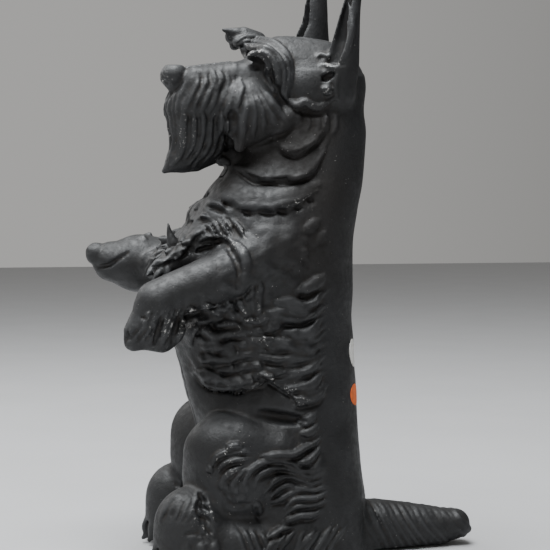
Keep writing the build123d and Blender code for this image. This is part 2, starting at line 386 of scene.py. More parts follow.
def legs(clay):
    """Forelegs held out to beg, haunches, hind feet and tail."""
    near_arm = [(-14, -30, 200), (-42, -40, 185), (-66, -44, 177), (-90, -43, 168)]
    clay.add(limb(near_arm, [22, 17, 14.5, 13]), 7)
    clay.add(limb([(-89, -43, 166), (-97, -43, 152), (-105, -43, 143.5)], [13, 10.5, 5.5]), 4)
    clay.add(egg((-87, -42, 151), (13, 9, 13), tilt=-30), 4)
    clay.add(limb([(-97, -43, 164), (-104, -43, 150)], [8, 6.5]), 3)
    clay.add(limb([(-104, -43, 143.5), (-88, -43, 142.5)], [4.5, 6]), 4)
    far_arm = [(-14, 30, 202), (-44, 40, 190), (-72, 43, 186), (-92, 43, 188)]
    clay.add(limb(far_arm, [22, 18, 18, 18.5]), 7)
    clay.add(limb([(-92, 43, 187), (-108, 43, 189), (-119, 43, 194)], [17.5, 13.5, 7.5]), 4)
    for side in SIDES:
        back = 0 if side == LEFT else FAR_FOOT_BACK
        clay.add(egg((-38 + back / 4, side * 29, 60 + 0.75 * back), (35, 27, 36)), 4)
        clay.add(egg((-45 + back / 4, side * 34, 73 + 0.75 * back), (27, 20, 24)), 5)
        clay.add(limb([(-40, side * 36, 79), (-16, side * 41, 74), (6, side * 42, 62)], [15, 12, 9]), 4)
        clay.add(egg((-70 + back, side * 40, 24.5 + back / 4), (22.5 - back / 4, 19, 28), tilt=3 + back), 5)
        clay.add(egg((-46 + back, side * 38, 16), (44, 19, 17)), 6)
        clay.add(egg((-63, side * 52, 15.5), (12.5, 9, 11.5)), 1.5)
        for toe in (-1, 0, 1):
            clay.add(egg((back - 80 - 3 * (1 - abs(toe)), side * (40 + 9 * toe), 11), (11, 6, 9)), 2)
    spine = [(40, 0, 8), (60, 0, 12), (80, 0, 11.5), (101, -1, 11), (115, -3, 13.5)]
    clay.add(limb(spine, [26, 19.5, 17, 13.5, 10]), 5)


def bib(clay):
    """The mane that hangs from the throat and lies forward between the forelegs."""
    for sideways in (-17, 0, 17):
        path = [(-28, sideways, 230), (-48, sideways, 212), (-65, sideways, 198), (-83, sideways * 1.2, 187)]
        clay.add(limb(path, [18, 13, 10, 7]), 8)
    clay.add(egg((-47, 0, 219), (15, 22, 14), tilt=20), 3)
    clay.add(egg((-51, 2, 221), (12.5, 17, 8)), 2)
    clay.add(egg((-60, 0, 206), (10, 18, 10), tilt=20), 2)
    for x, z in ((-55, 233), (-69, 216)):
        clay.cut(limb([(x + 7, -15, z - 2), (x, 2, z), (x + 4, 18, z - 1)], [2, 3.4, 2.6]), 2)


def head(clay):
    """Skull, cheeks, muzzle, beard and nose."""
    clay.add(egg((-8, 0, 19), (39, 30, 30), HEAD), 8)
    clay.add(egg((-24, 0, 26), (27, 24, 23), HEAD), 6)
    for side in SIDES:
        clay.add(limb([(-36, side * 5, 20), (-84, side * 5, 17.5)], [15, 11], HEAD), 4)
    clay.add(egg((-69, 0, 6), (27, 20, 20), HEAD), 5)
    clay.add(limb([(-82, 0, 12), (-84, 0, -12), (-91, -1, -28), (-102, -2, -37)], [13, 13.5, 9, 2], HEAD), 3)
    clay.add(limb([(-80, 0, 2), (-79, 0, -20)], [21, 14], HEAD), 5)
    clay.add(limb([(-94, -1, -31), (-81, 0, -30), (-67, 0, -25)], [6, 7.5, 6], HEAD), 3)
    clay.add(limb([(-70, 0, -8), (-56, 0, -20)], [13, 4], HEAD), 3)
    for side in SIDES:
        clay.add(egg((-48, side * 18, 0), (24, 13, 21), HEAD, tilt=-20), 5)
        clay.add(limb([(-52, side * 21, 4), (-60, side * 24, -19)], [9, 3.5], HEAD), 4)
        clay.add(limb([(-45, side * 24, 2), (-36, side * 28, -6), (-26, side * 29, 4)], [9, 6, 5], HEAD), 5)
        clay.add(egg((-13, side * 21, 18), (21, 13, 15), HEAD), 5)
    clay.add(limb([(-30, 0, 270), (-26, 0, 252), (-34, 0, 236)], [12, 11, 12]), 4)
    clay.add(limb([(-35, -8, 258), (-35, 10, 258)], [7.5, 7.5]), 3)
    clay.add(limb([(-97, 0, 22), (-94.5, 0, 16)], [9, 6.5], HEAD), 1.0)


def ear(clay, side):
    """One pricked ear, hollowed in front."""
    lean = -2.0 if side == RIGHT else 0.0
    shift = 0.5 if side == RIGHT else 0.0
    stretch = 1.4 if side == RIGHT else 1.0
    outer = []
    for height, x, y, deep, wide in EAR:
        place = x + shift + lean * height / 60
        outer.append((height, place, side * y, deep * (stretch if height > 40 else 1), wide))
    clay.add(loft(outer, HEAD), 4)
    inner = []
    for height, x, y, deep, wide in outer[2:-1]:
        off = EAR_MOUTH * min(1.0, deep / 11) + max(0, 46 - height) * 0.3
        place = (x - off * math.cos(EAR_FACES[side]), y + side * off * math.sin(EAR_FACES[side]))
        inner.append((height + 4, *place, max(deep - EAR_WALL, 0.8), max(wide - EAR_WALL, 0.8)))
    clay.cut(loft(inner, HEAD), 1.5)


def brow(clay, side):
    """A bulge over each eye, on which the brow's locks lie."""
    lift = FAR_BROW_LIFT if side == RIGHT else 0.0
    path = [(-50, 15, 36.5), (-42, 18, 36.5), (-36, 22, 31), (-33, 26, 22), (-33, 28, 14)]
    clay.add(limb([(x, side * y, z + lift) for x, y, z in path], [4, 6, 6, 4.5, 2.2], HEAD), 2)


def rough_out(clay):
    """The whole dog, smooth, with a hollow in each flank over the haunch."""
    clay.add(torso())
    legs(clay)
    for side in SIDES:
        clay.cut(egg((-14, side * 49, 94), (22, 11, 5), tilt=-8), 2.5)
    bib(clay)
    head(clay)
    for side in SIDES:
        ear(clay, side)
        brow(clay, side)


# ---- carving tools


def eased(value, low, high):
    """0 below low, 1 above high, and a smooth rise between."""
    t = np.clip((np.asarray(value) - low) / (high - low), 0, 1)
    return t * t * (3 - 2 * t)


def swell(share, start, end):
    """How thick a strand is along its length, as shares of its full width at its start and end."""
    rise = start + (1 - start) * eased(share, -0.02, 0.22)
    return np.minimum(rise, end + (1 - end) * eased(1 - share, -0.02, 0.42))


def jitter(path, amount):
    """A path with its points moved a little at random."""
    return np.asarray(path, float) + RNG.normal(size=np.shape(path)) * amount


def ripple(places, wavelength, waves=14):
    """Smooth random heights, mostly between -1 and 1, at the places x, y and z."""
    total = 0.0
    for _ in range(waves):
        heading = RNG.normal(size=3)
        heading *= 2 * math.pi / (wavelength * RNG.uniform(0.7, 1.5) * np.linalg.norm(heading))
        total = total + np.sin(sum(v * h for v, h in zip(places, heading)) + RNG.uniform(0, 2 * math.pi))
    return total / math.sqrt(waves / 2)


FAN_EDGE_POINTS = 7
STRAND_POINTS = 31  # worked out along each strand of a fan
STRAND_STRIDE = 5  # of which one in so many is kept


class Relief:
    """Heights to carve into the skin, drawn on a map over two axes of a place.

    The ends of a strand or valley are the shares of its full width that are left where it starts and stops.
    """

    CELL = 0.5

    def __init__(self, low, high):
        self.low = np.array(low, float)
        size = tuple(np.ceil((np.array(high) - self.low) / self.CELL).astype(int) + 1)
        self.plates, self.strands, self.cuts = (np.zeros(size, np.float32) for _ in range(3))

    def near(self, path, reach):
        """The cells round a path, how far off and how far along it they are, and which are on its left."""
        first = np.floor((path.min(0) - reach - self.low) / self.CELL).astype(int)
        last = np.ceil((path.max(0) + reach - self.low) / self.CELL).astype(int) + 1
        first, last = (np.clip(v, 0, self.plates.shape) for v in (first, last))
        grid = [self.low[i] + self.CELL * np.arange(first[i], last[i]) for i in range(2)]
        at = np.stack(np.meshgrid(*grid, indexing="ij"), axis=-1)[..., None, :]
        runs = np.diff(path, axis=0)
        off = at - path[:-1]
        along = np.clip((off * runs).sum(-1) / (runs**2).sum(-1), 0, 1)
        away = off - along[..., None] * runs
        gaps = np.hypot(away[..., 0], away[..., 1])
        nearest = gaps.argmin(-1)[..., None]
        gap = np.take_along_axis(gaps, nearest, -1)[..., 0]
        share = (nearest[..., 0] + np.take_along_axis(along, nearest, -1)[..., 0]) / len(runs)
        turn = runs[:, 0] * off[..., 1] - runs[:, 1] * off[..., 0]
        left = np.take_along_axis(turn, nearest, -1)[..., 0] > 0
        return (slice(first[0], last[0]), slice(first[1], last[1])), gap, share, left

    def ridge(self, path, radius, height, ends=(0.4, 0.05)):
        """A rounded strand."""
        window, gap, share, _ = self.near(curve(path, 1.5), radius)
        thick = swell(share, *ends)
        hump = height * thick * np.sqrt(np.clip(1 - (gap / (radius * thick + 1e-3)) ** 2, 0, 1))
        self.strands[window] = np.maximum(self.strands[window], hump)

    def groove(self, path, radius, depth, ends=(0.3, 0.1)):
        """A valley."""
        window, gap, share, _ = self.near(curve(path, 1.5), radius)
        thick = swell(share, *ends)
        valley = depth * thick * np.clip(1 - (gap / (radius * thick + 1e-3)) ** 2, 0, 1)
        self.cuts[window] = np.maximum(self.cuts[window], valley)

    def shelf(self, path, height, dip, reach, ends=(0.0, 0.0)):
        """A step along a path: a lip raised on its left, and sunk on its right over about that reach."""
        window, gap, share, left = self.near(curve(path, 1.5), 2.2 * reach)
        fade = np.exp(-((gap / np.where(left, 0.45 * reach, reach)) ** 2))
        step = np.where(left, height, -dip) * fade * eased(gap, -0.8, 0.8)
        self.plates[window] += swell(share, *ends) * step

    def fan(self, first, last, count, radius, height, ends=(0.4, 0.05), loose=0.5):
        """Strands from one line to another, side by side, with a valley between each two."""
        first, last = curve_of(first, FAN_EDGE_POINTS), curve_of(last, FAN_EDGE_POINTS)
        for line in range(2 * count - 1):
            share = line / (2 * count - 2) + RNG.normal() * 0.06 / count
            mixed = curve_of(first + np.clip(share, 0, 1) * (last - first), STRAND_POINTS)
            start = int((STRAND_POINTS - 1) * RNG.uniform(0, 0.14))
            stop = int((STRAND_POINTS - 1) * RNG.uniform(0.82, 1.0))
            path = jitter(mixed[start : stop + 1 : STRAND_STRIDE], loose)
            if line % 2:
                self.groove(path, 0.9 * radius, 0.45 * height, (0.2, 0.2))
            else:
                self.ridge(path, radius * RNG.uniform(0.8, 1.2), height * RNG.uniform(0.7, 1.1), ends)

    def read(self, u, w):
        """Heights between the map's cells."""
        total = self.plates + self.strands - self.cuts
        along, up = ((v - low) / self.CELL for v, low in zip((u, w), self.low))
        along = np.clip(along, 0, total.shape[0] - 1.001)
        up = np.clip(up, 0, total.shape[1] - 1.001)
        i, j = along.astype(int), up.astype(int)
        p, q = along - i, up - j
        near = total[i, j] * (1 - q) + total[i, j + 1] * q
        far = total[i + 1, j] * (1 - q) + total[i + 1, j + 1] * q
        return near * (1 - p) + far * p


def curve_of(points, count):
    """A smooth line through points, as count even points."""
    fine = curve(points, 0.5)
    return fine[np.linspace(0, len(fine) - 1, count).round().astype(int)]


SKIN_DEPTH = 6.0  # how far from the skin grid points are moved by a relief
PAST_MIDDLE = 3  # how far over the place's middle plane a relief reaches


class Skin:
    """The grid points near the clay's skin, and the way that it faces there."""

    def __init__(self, clay):
        self.clay = clay
        self.index = np.flatnonzero(np.abs(clay.field) < SKIN_DEPTH)
        cell = np.unravel_index(self.index, clay.field.shape)
        self.at = [clay.low[i] + clay.step * cell[i] for i in range(3)]
        slope = np.stack([part.ravel()[self.index] for part in np.gradient(clay.field)])
        self.facing = slope / np.maximum(np.linalg.norm(slope, axis=0), TINY)

    def carve(self, relief, axes, toward, sign, place=DOG, facing=(0.15, 0.55)):
        """Moves the skin out by a relief over two axes of a place, where it faces along the third."""
        local = place.inward(*self.at)
        weight = eased(sign * (place.turn[:, toward] @ self.facing), *facing)
        weight = weight * (sign * local[toward] > -PAST_MIDDLE)
        pick = np.flatnonzero(weight)
        height = relief.read(local[axes[0]][pick], local[axes[1]][pick]) * weight[pick]
        self.clay.field.ravel()[self.index[pick]] -= height

    def swell(self, heights):
        """Moves the skin out by one height for each of its points."""
        self.clay.field.ravel()[self.index] -= heights


def lay_lock(clay, skin, path, radius, rise=0.6, blend=0.8, ends=(0.5, 0.1)):
    """A raised strand along a path on the skin; its crest stands rise radii above it."""
    path = curve(path, 2.0)
    thick = radius * swell(np.linspace(0, 1, len(path)), *ends)
    clay.add(limb(path + skin.normal(path) * ((rise - 1) * thick)[:, None], thick), blend)


def undercut(clay, skin, path, radius, depth, ends=(0.4, 0.4)):
    """A crease along a path on the skin."""
    path = curve(path, 2.0)
    thick = radius * swell(np.linspace(0, 1, len(path)), *ends)
    clay.cut(limb(path + skin.normal(path) * (thick - depth * thick / radius)[:, None], thick), 0.6)


def hook(clay, skin, root, heading, size):
    """A short lock that lies on the skin from root and curls up to a blunt point."""
    out = skin.normal(np.asarray(root)[None])[0]
    steps = ((-0.5, -0.6), (-0.02, 0.0), (0.1, 0.5), (0.18, 0.95), (0.5, 1.3))
    path = curve([root + out * up * size + heading * along * size for up, along in steps], 1.5)
    clay.add(limb(path, 0.4 * size * swell(np.linspace(0.15, 1, len(path)), 0.6, 0.12)), 1.6)


# ---- the coat


# Fur edges on the dog's side, from front to back: place fore and aft, height
RUFF = ((-14, 267), (-9, 261), (-1, 260), (8, 265), (15, 272), (18, 281))
NECK_HEM = (
    (-39, 251), (-36, 250), (-28, 245), (-20, 243), (-10, 244), (0, 244), (8, 248), (13, 255), (17, 262)
)
MANE_HEM = ((-44, 228), (-37, 226), (-29, 226), (-21, 225), (-13, 227), (-3, 229), (4, 232), (12, 235))
BELLY_HEM = ((-64, 124), (-59, 114), (-53, 112), (-45, 111), (-38, 112), (-30, 113), (-23, 116), (-19, 118))
RIB_CRACK = ((-25, 147), (-24, 143), (-21, 140), (-17, 137))
BELLY_CRACK = ((-23, 119), (-18, 116), (-10, 112), (-5, 107), (-1, 101))
# Edges that roll over a dark crease, and the radius of the roll
ROLLED = ((NECK_HEM, 2.0), (BELLY_HEM, 1.4), (RUFF, 1.8), (RIB_CRACK, 1.5), (BELLY_CRACK, 1.4))
FUR_BACK = 17.0  # the coat's back edge; the dog's back is smooth
# Long locks behind the ribs: height, and the place fore and aft where they start
SIDE_LOCKS = ((165, -16), (158, -22), (147, -10), (139, -22), (131, -16), (123, -18), (114, -9), (106, -4))


def flank(relief):
    """Level, wavy locks over the ribs and belly, and long ones behind them that sweep up to points."""
    for row, height in enumerate(np.arange(119, 160, 6.4)):
        place = -61 + 8 * (row % 2) + RNG.uniform(-2, 2)
        while place < -22:
            length = RNG.uniform(13, 24)
            along = place + length * np.linspace(0, 1, 6)
            wave = 1.9 * np.sin(along / 5.5 + 0.7 * row)
            path = np.column_stack([along, height + RNG.uniform(-1, 1) + wave])
            relief.ridge(path, RNG.uniform(3.0, 4.2), RNG.uniform(2.4, 3.8), (0.75, 0.1))
            relief.groove(path - (0, 3.2), 2.4, 1.0, (0.6, 0.1))
            place += length * RNG.uniform(0.7, 0.9)
        for column in range(4):
            gap = -59 + 10 * column + 5 * (row % 2) + 1.7 * ((3 * row + 2 * column) % 3)
            path = [(gap - 2, height + 3.6), (gap, height), (gap + 1, height - 3.6)]
            relief.groove(path, 2.2, 1.1, (0.3, 0.3))
    for height, start in SIDE_LOCKS:
        for drop, share in ((0, 1.0), (-3.4, 0.6)):
            length = FUR_BACK + RNG.uniform(-1, 3) - start
            along = np.linspace(0, 1, 6)
            rise = 1.2 * np.sin(along * 5 + height) + RNG.uniform(7, 11) * eased(along, 0.45, 1.1)
            path = np.column_stack([start + along * length, height + drop + rise])
            relief.ridge(path, 4.0 * share + 0.6, 3.7 * share, (0.5, 0.06))
        relief.groove(path - (0, 3.0), 2.6, 1.5, (0.3, 0.06))


# Knots of fur: place fore and aft, height, radius
BELLY_KNOTS = ((-55, 140, 4.4), (-56, 131, 3.8), (-46, 137, 3.6), (-35, 119, 4.2), (-22, 121, 3.2))
ELBOW_KNOTS = ((-60, 164, 3), (-56, 162, 3.6), (-52, 163, 3), (-48, 161, 4), (-45, 164, 3), (-70, 162, 3))


def flank_tufts(relief):
    """The larger locks on the flank, placed one by one."""
    relief.ridge([(-2, 173), (4, 175), (11, 179), (18, 185)], 4.4, 3.4, (0.4, 0.1))
    relief.groove([(-3, 168), (5, 169), (13, 174)], 3.2, 2.6, (0.4, 0.1))
    for top, middle, tip in (
        ((-41, 171), (-38, 162), (-33, 153)),
        ((-36, 174), (-34, 163), (-31, 152)),
        ((-31, 178), (-31, 165), (-29, 152)),
        ((-27, 180), (-28, 168), (-27, 155)),
    ):
        relief.ridge(jitter([top, middle, tip], 0.8), 2.8, 2.5, (0.0, 0.5))
    relief.groove([(-42, 160), (-36, 152), (-29, 148)], 3.0, 2.4, (0.3, 0.4))
    relief.ridge([(-63, 153), (-68, 147), (-67, 139)], 4.0, 3.0, (0.6, 0.4))
    relief.ridge([(-59, 153), (-58, 147), (-50, 145), (-40, 145)], 3.4, 3.2, (0.6, 0.15))
    for place, height, size in BELLY_KNOTS:
        relief.ridge([(place - 3, height - 1), (place, height), (place + 7, height)], size, 3.6, (0.8, 0.3))
    for place, height, size in ELBOW_KNOTS:
        path = [(place - 2, height + 2), (place, height), (place + 2, height - 2)]
        relief.ridge(path, size, 3.0, (0.7, 0.6))
    relief.groove([(-74, 153), (-66, 158), (-56, 157), (-46, 154)], 3.4, 2.4, (0.4, 0.2))


# Locks of a haunch, front to back: place fore and aft, height
HAUNCH_LOCKS = (
    ((-50, 77), (-45, 79), (-38, 79)),
    ((-58, 66), (-55, 72), (-48, 75), (-40, 76), (-31, 74)),
    ((-54, 63), (-50, 69), (-42, 71), (-34, 71)),
    ((-50, 49), (-51, 57), (-46, 63), (-38, 67)),
    ((-44, 46), (-45, 56), (-41, 62), (-34, 67)),
    ((-37, 48), (-38, 57), (-34, 64), (-26, 68), (-17, 69), (-9, 67), (-3, 63), (5, 62), (13, 65)),
    ((-28, 72), (-18, 72), (-7, 72), (1, 75), (9, 78), (16, 84)),
    ((-5, 67), (2, 67), (7, 70), (14, 76)),
    ((-31, 54), (-29, 60), (-23, 63), (-15, 64), (-7, 62), (-1, 59), (6, 57), (14, 61)),
    ((-25, 49), (-20, 54), (-14, 57), (-7, 58), (0, 55), (7, 53), (16, 57)),
    ((-20, 46), (-14, 51), (-7, 52), (-2, 50)),
    ((-21, 42), (-14, 44), (-7, 48), (0, 50), (8, 49), (18, 52)),
    ((-12, 37), (-6, 44), (4, 44), (11, 45), (18, 48)),
    ((-12, 34), (-5, 39), (4, 40), (13, 41), (18, 43)),
    ((-14, 29), (-9, 31), (-3, 33), (5, 33), (14, 37)),
    ((-24, 21), (-18, 23), (-12, 26), (-4, 27)),
    ((-31, 44), (-29, 38), (-27, 31)),
)


def haunch(relief):
    """Arched locks round the thigh, long sinuous ones behind them, and strokes up from the floor."""
    for path in HAUNCH_LOCKS:
        low_side = np.array(path) - (0, 2.6)
        relief.groove(low_side, 2.2, 1.5)
        relief.ridge(path, RNG.uniform(2.6, 3.2), RNG.uniform(2.1, 3.0), (0.3, 0.05))
    for start in np.arange(-28, 20, 5.5):
        path = [(start - 2, 4), (start + 3, 13), (start + 10, 21), (start + 15, 28)]
        relief.ridge(jitter(path, 0.8), RNG.uniform(1.8, 2.6), RNG.uniform(1.6, 2.4), (0.3, 0.05))
    relief.groove([(-50, 46), (-45, 42), (-38, 42), (-32, 44)], 3.0, 1.3)
    relief.ridge([(-60, 66), (-58, 62)], 2.5, 1.8, (0.6, 0.4))
    relief.ridge([(-1, 91), (4, 92), (11, 97)], 3.2, 2.8, (0.6, 0.2))
    relief.ridge([(0, 84), (6, 85), (12, 90)], 3.0, 2.4, (0.6, 0.1))
    relief.fan([(-44, 30), (-40, 18), (-36, 5)], [(-28, 26), (-24, 16), (-20, 5)], 4, 2.0, 1.4, (0.1, 0.2))


def hind_foot(relief):
    """Slanting strokes over the instep, a rough crease behind it and the side of the toes."""
    front, back = [(-76, 52), (-87, 41), (-91, 28)], [(-66, 50), (-72, 40), (-76, 30)]
    relief.fan(front, back, 5, 2.3, 1.7, (0.2, 0.2), 0.3)
    relief.groove([(-65, 48), (-64, 38), (-60, 27)], 5.0, 3.2, (0.4, 0.4))
    relief.groove([(-77, 26), (-70, 27), (-62, 24)], 2.2, 1.3)
    relief.groove([(-84, 14), (-74, 13), (-68, 8)], 2.0, 1.4)
    for shift in (0, 9, 18):
        relief.ridge([(-74 + shift, 22), (-76 + shift, 14), (-73 + shift, 6)], 3.0, 1.2, (0.3, 0.3))


def tail_fur(relief):
    """Slanting strokes down the tail."""
    for place in np.arange(50, 118, 4.6):
        lean = 6 + 0.11 * (place - 50)
        top = 34 - 0.12 * (place - 50)
        path = [(place - 3, top), (place + 0.35 * lean, top * 0.55), (place + 1.7 * lean, 1)]
        relief.ridge(jitter(path, 0.5), RNG.uniform(2.3, 3.1), RNG.uniform(1.2, 2.0), (0.35, 0.4))


def fur_edges(relief):
    """The plates of fur that hang over one another at the ruff, the neck, the mane and the belly."""
    relief.shelf(RUFF, 2.0, 1.8, 9, (0.3, 0.3))
    relief.shelf(NECK_HEM, 1.2, 3.4, 11, (0.4, 0.2))
    roll = np.array(MANE_HEM) + (0, 5)
    relief.ridge(roll, 8.5, 3.0, (0.6, 0.3))
    relief.ridge(roll - (0, 4), 4.0, 3.4, (0.5, 0.2))
    relief.shelf(BELLY_HEM, 3.4, 4.6, 12, (0.3, 0.5))
    relief.shelf(BELLY_CRACK, 1.6, 1.6, 8, (0.7, 0.1))
    for place, height in ((-43, 225), (-33, 221), (-22, 222), (-13, 223), (-2, 224), (7, 229)):
        path = jitter([(place - 3, height + 1), (place + 3, height - 1)], 1.0)
        relief.groove(path, RNG.uniform(2, 3.4), 2.2, (0.6, 0.3))
    for place, height in ((-40, 237), (-31, 233), (-22, 234), (-9, 236), (-2, 238)):
        path = [(place - 4, height + 1), (place + 3, height), (place + 9, height + 3)]
        relief.ridge(path, 3.6, 1.1, (0.3, 0.1))
    relief.ridge([(-44, 254), (-42, 251)], 4.0, 3.2, (0.9, 0.8))
    relief.ridge([(2, 210), (8, 215), (14, 218)], 3.6, 1.8, (0.3, 0.1))
    relief.ridge([(10, 203), (14, 207), (18, 212)], 3.0, 1.4, (0.3, 0.1))


# Locks on the bib's sides, seen from the side: place fore and aft, height
BIB_LOCKS = (
    ((-64, 203), (-60, 206), (-54, 207), (-48, 207)),
    ((-64, 200), (-59, 203), (-51, 204)),
    ((-66, 199), (-66, 204), (-63, 209), (-58, 212)),
    ((-81, 214), (-80, 207), (-84, 200)),
    ((-77, 208), (-72, 212), (-66, 215)),
    ((-84, 199), (-78, 203), (-73, 207), (-69, 211)),
    ((-81, 194), (-77, 197), (-70, 200), (-69, 205)),
    ((-88, 191), (-83, 192), (-79, 196)),
    ((-93, 188), (-89, 191), (-85, 196)),
    ((-66, 218), (-60, 220), (-55, 219)),
    ((-70, 221), (-64, 225), (-58, 225)),
    ((-56, 229), (-50, 227), (-45, 223)),
)


def bib_locks(relief):
    """Flat curved locks on both sides of the bib, with hollows between them."""
    for path in BIB_LOCKS:
        relief.groove(np.array(path) - (0, 3), 2.6, 2.4, (0.4, 0.2))
        relief.ridge(path, RNG.uniform(2.2, 3.0), RNG.uniform(2.2, 3.2), (0.5, 0.15))


def sleeve(relief):
    """The folds where a foreleg leaves the shoulder, and the strokes that fan out over it."""
    fold = [(-64, 200), (-56, 204), (-48, 203), (-44, 195), (-42, 186), (-43, 176)]
    relief.groove(fold, 3.0, 2.6, (0.4, 0.3))
    relief.ridge([(-46, 206), (-39, 198), (-37, 188), (-39, 178)], 3.6, 2.0, (0.3, 0.3))
    back, front = [(-45, 220), (-40, 214), (-36, 205)], [(-60, 214), (-58, 209), (-55, 205)]
    relief.fan(back, front, 6, 1.9, 2.6, (0.3, 0.2), 0.3)


def front_paw(relief, side):
    """The paw's toes and claws, and the rough fringe on the wrist's underside."""
    if side == LEFT:
        front, back = [(-96, 164), (-99, 154), (-101, 145)], [(-70, 165), (-75, 154), (-82, 144)]
        relief.fan(front, back, 8, 2.0, 1.4, (0.3, 0.5), 0.4)
        for start in (-89, -78):
            relief.groove([(start, 161), (start - 2, 152), (start - 4, 143)], 2.6, 2.6, (0.4, 0.5))
            relief.ridge([(start + 5, 160), (start + 3, 152), (start + 1, 143)], 3.4, 2.2, (0.3, 0.5))
        for start in (-104, -99, -94):
            relief.groove([(start + 2, 153), (start - 3, 147), (start - 5, 142)], 1.8, 1.5)
        relief.groove([(-100, 160), (-99, 157)], 2.0, 1.6)
    else:
        relief.groove([(-119, 187), (-112, 189), (-104, 195)], 2.4, 1.4, (0.1, 0.2))
        relief.groove([(-108, 178), (-100, 182), (-92, 182)], 2.2, 1.4)
        relief.fan([(-100, 180), (-92, 172), (-84, 168)], [(-92, 200), (-84, 196), (-76, 190)], 5, 2.6, 1.0)


# Strands of the muzzle, the beard and the cheek, in the head's frame: the group's front and back edges as
# places fore and aft and heights, how many strands, their radius, height and ends, and how loose they lie
FACE_STRANDS = (
    (((-85, 27), (-86, 19), (-92, 8), (-95, -4)), ((-76, 29), (-76, 20), (-83, 9), (-88, -10)),
     3, 2.2, 1.8, (0.2, 0.1), 0.4),
    (((-72, 29), (-71, 20), (-77, 9), (-84, -10)), ((-57, 28), (-60, 20), (-64, 9), (-71, -10)),
     4, 2.8, 1.7, (0.2, 0.1), 0.6),
    (((-95, 4), (-93, -6), (-93, -20), (-100, -38)), ((-68, 4), (-66, -8), (-68, -21), (-75, -35)),
     6, 3.0, 2.3, (0.1, 0.4), 0.6),
    (((-57, 14), (-58, 2), (-60, -9), (-60, -23)), ((-47, 17), (-41, 8), (-34, -1), (-27, -7)),
     5, 3.2, 2.3, (0.2, 0.2), 0.4),
)


def beard(relief):
    """The face's strands, the partings between them and the folds under the ear."""
    for strands in FACE_STRANDS:
        relief.fan(*strands)
    relief.groove([(-66, 6), (-65, -8), (-63, -22)], 3.2, 4.0, (0.2, 0.6))
    relief.groove([(-57, -22), (-48, -17), (-38, -12), (-30, -8), (-22, 0)], 2.6, 1.6)
    relief.ridge([(-33, 12), (-27, 8.5), (-21, 10), (-14, 7), (-8, 9), (-3, 13)], 2.8, 2.6, (0.3, 0.4))
    relief.groove([(-30, 6), (-21, 3), (-12, 2), (-5, 2)], 2.8, 2.2)
    relief.fan([(-26, 4), (-24, -4), (-26, -10)], [(0, 4), (-2, -6), (-6, -12)], 5, 2.4, 1.3, (0.2, 0.3))


def chin_to_nose(relief):
    """Upright strands down the front of the beard, over the head's sideways axis and height."""
    for way in SIDES:
        middle = [(way * 2, 14), (way * 2, -8), (way * 1, -36)]
        outside = [(way * 15, 22), (way * 14, -6), (way * 5, -32)]
        relief.fan(middle, outside, 5, 2.3, 2.2, (0.2, 0.2))


def muzzle_top(relief):
    """The hair parted along the middle of the muzzle and skull, over the head's two level axes."""
    for way in SIDES:
        for place in np.arange(-86, -56, 4.4):
            path = [(place, way * 2), (place - 1, way * 9), (place - 2, way * 19)]
            relief.ridge(jitter(path, 0.4), 2.4, 0.8, (0.0, 0.7))
        for place in np.arange(-44, -4, 6):
            path = [(place, way * 3), (place + 7, way * 9), (place + 15, way * 13)]
            relief.ridge(jitter(path, 0.8), 2.6, 0.7, (0.2, 0.1))


def chest(relief):
    """Locks over the chest and belly, seen from in front: sideways place, height."""
    for row, height in enumerate(np.arange(104, 246, 6.5)):
        strength = 0.15 + 0.4 * eased(height, 185, 205)
        for way in SIDES:
            place = 1.5 + 4 * (row % 2)
            while place < 40:
                length = RNG.uniform(11, 20)
                drop = RNG.uniform(6, 11)
                middle = (way * (place + 0.5 * length), height - 0.25 * drop)
                path = jitter([(way * place, height), middle, (way * (place + length), height - drop)], 0.7)
                relief.ridge(path, RNG.uniform(2.8, 4.0), RNG.uniform(1.2, 2.2) * strength, (0.5, 0.1))
                place += length * 0.75


TUFT_ROWS = 7
TUFTS_IN_ROW = 7
TUFT_ARC = math.radians(62)  # from the bib's middle out to the last tuft of a row


def mane_tufts(clay, skin):
    """Short curled locks down the front of the bib, which make its outline ragged, and one that stands up."""
    for row in range(TUFT_ROWS):
        share = 0.55 + 0.45 * row / (TUFT_ROWS - 1)
        middle = np.array([-40 - 50 * share, 0, 236 - 50 * share])
        for tuft in range(TUFTS_IN_ROW):
            across = 2 * (tuft + 0.5 * (row % 2)) / (TUFTS_IN_ROW - 0.5) - 1 + RNG.uniform(-0.12, 0.12)
            angle = across * TUFT_ARC
            outward = np.array([-0.62 * math.cos(angle), math.sin(angle), 0.78 * math.cos(angle)])
            start = middle + (RNG.uniform(-3, 3), across * (24 + 3 * share), -6) + outward * 26
            root, found = skin.strike(start[None], -outward, 34)
            size = RNG.uniform(4, 7)
            heading = np.array([-0.62, 0.2 * across, -0.5]) + RNG.normal(size=3) * 0.3
            if found[0]:
                hook(clay, skin, root[0], heading, size)
    clay.add(limb([(-77, -18, 203), (-79, -18, 209), (-80, -18, 215)], [4, 2, 0.8]), 1.5)


def lips(clay, skin, side):
    """Rolled edges of the fur plates, with a dark crease under each."""
    for path, radius in ROLLED:
        flat = np.array(path, float)
        flat[:, 1] += np.where(np.arange(len(flat)) % 2, 0.8, -0.8) + RNG.uniform(-0.4, 0.4, len(flat))
        flat = curve(flat, 3.0)
        undercut(clay, skin, clay.from_side(side, flat - (0, 1.7 * radius)), radius, 0.7 * radius)
        lay_lock(clay, skin, clay.from_side(side, flat), radius, 0.7, 1.0, (0.5, 0.5))


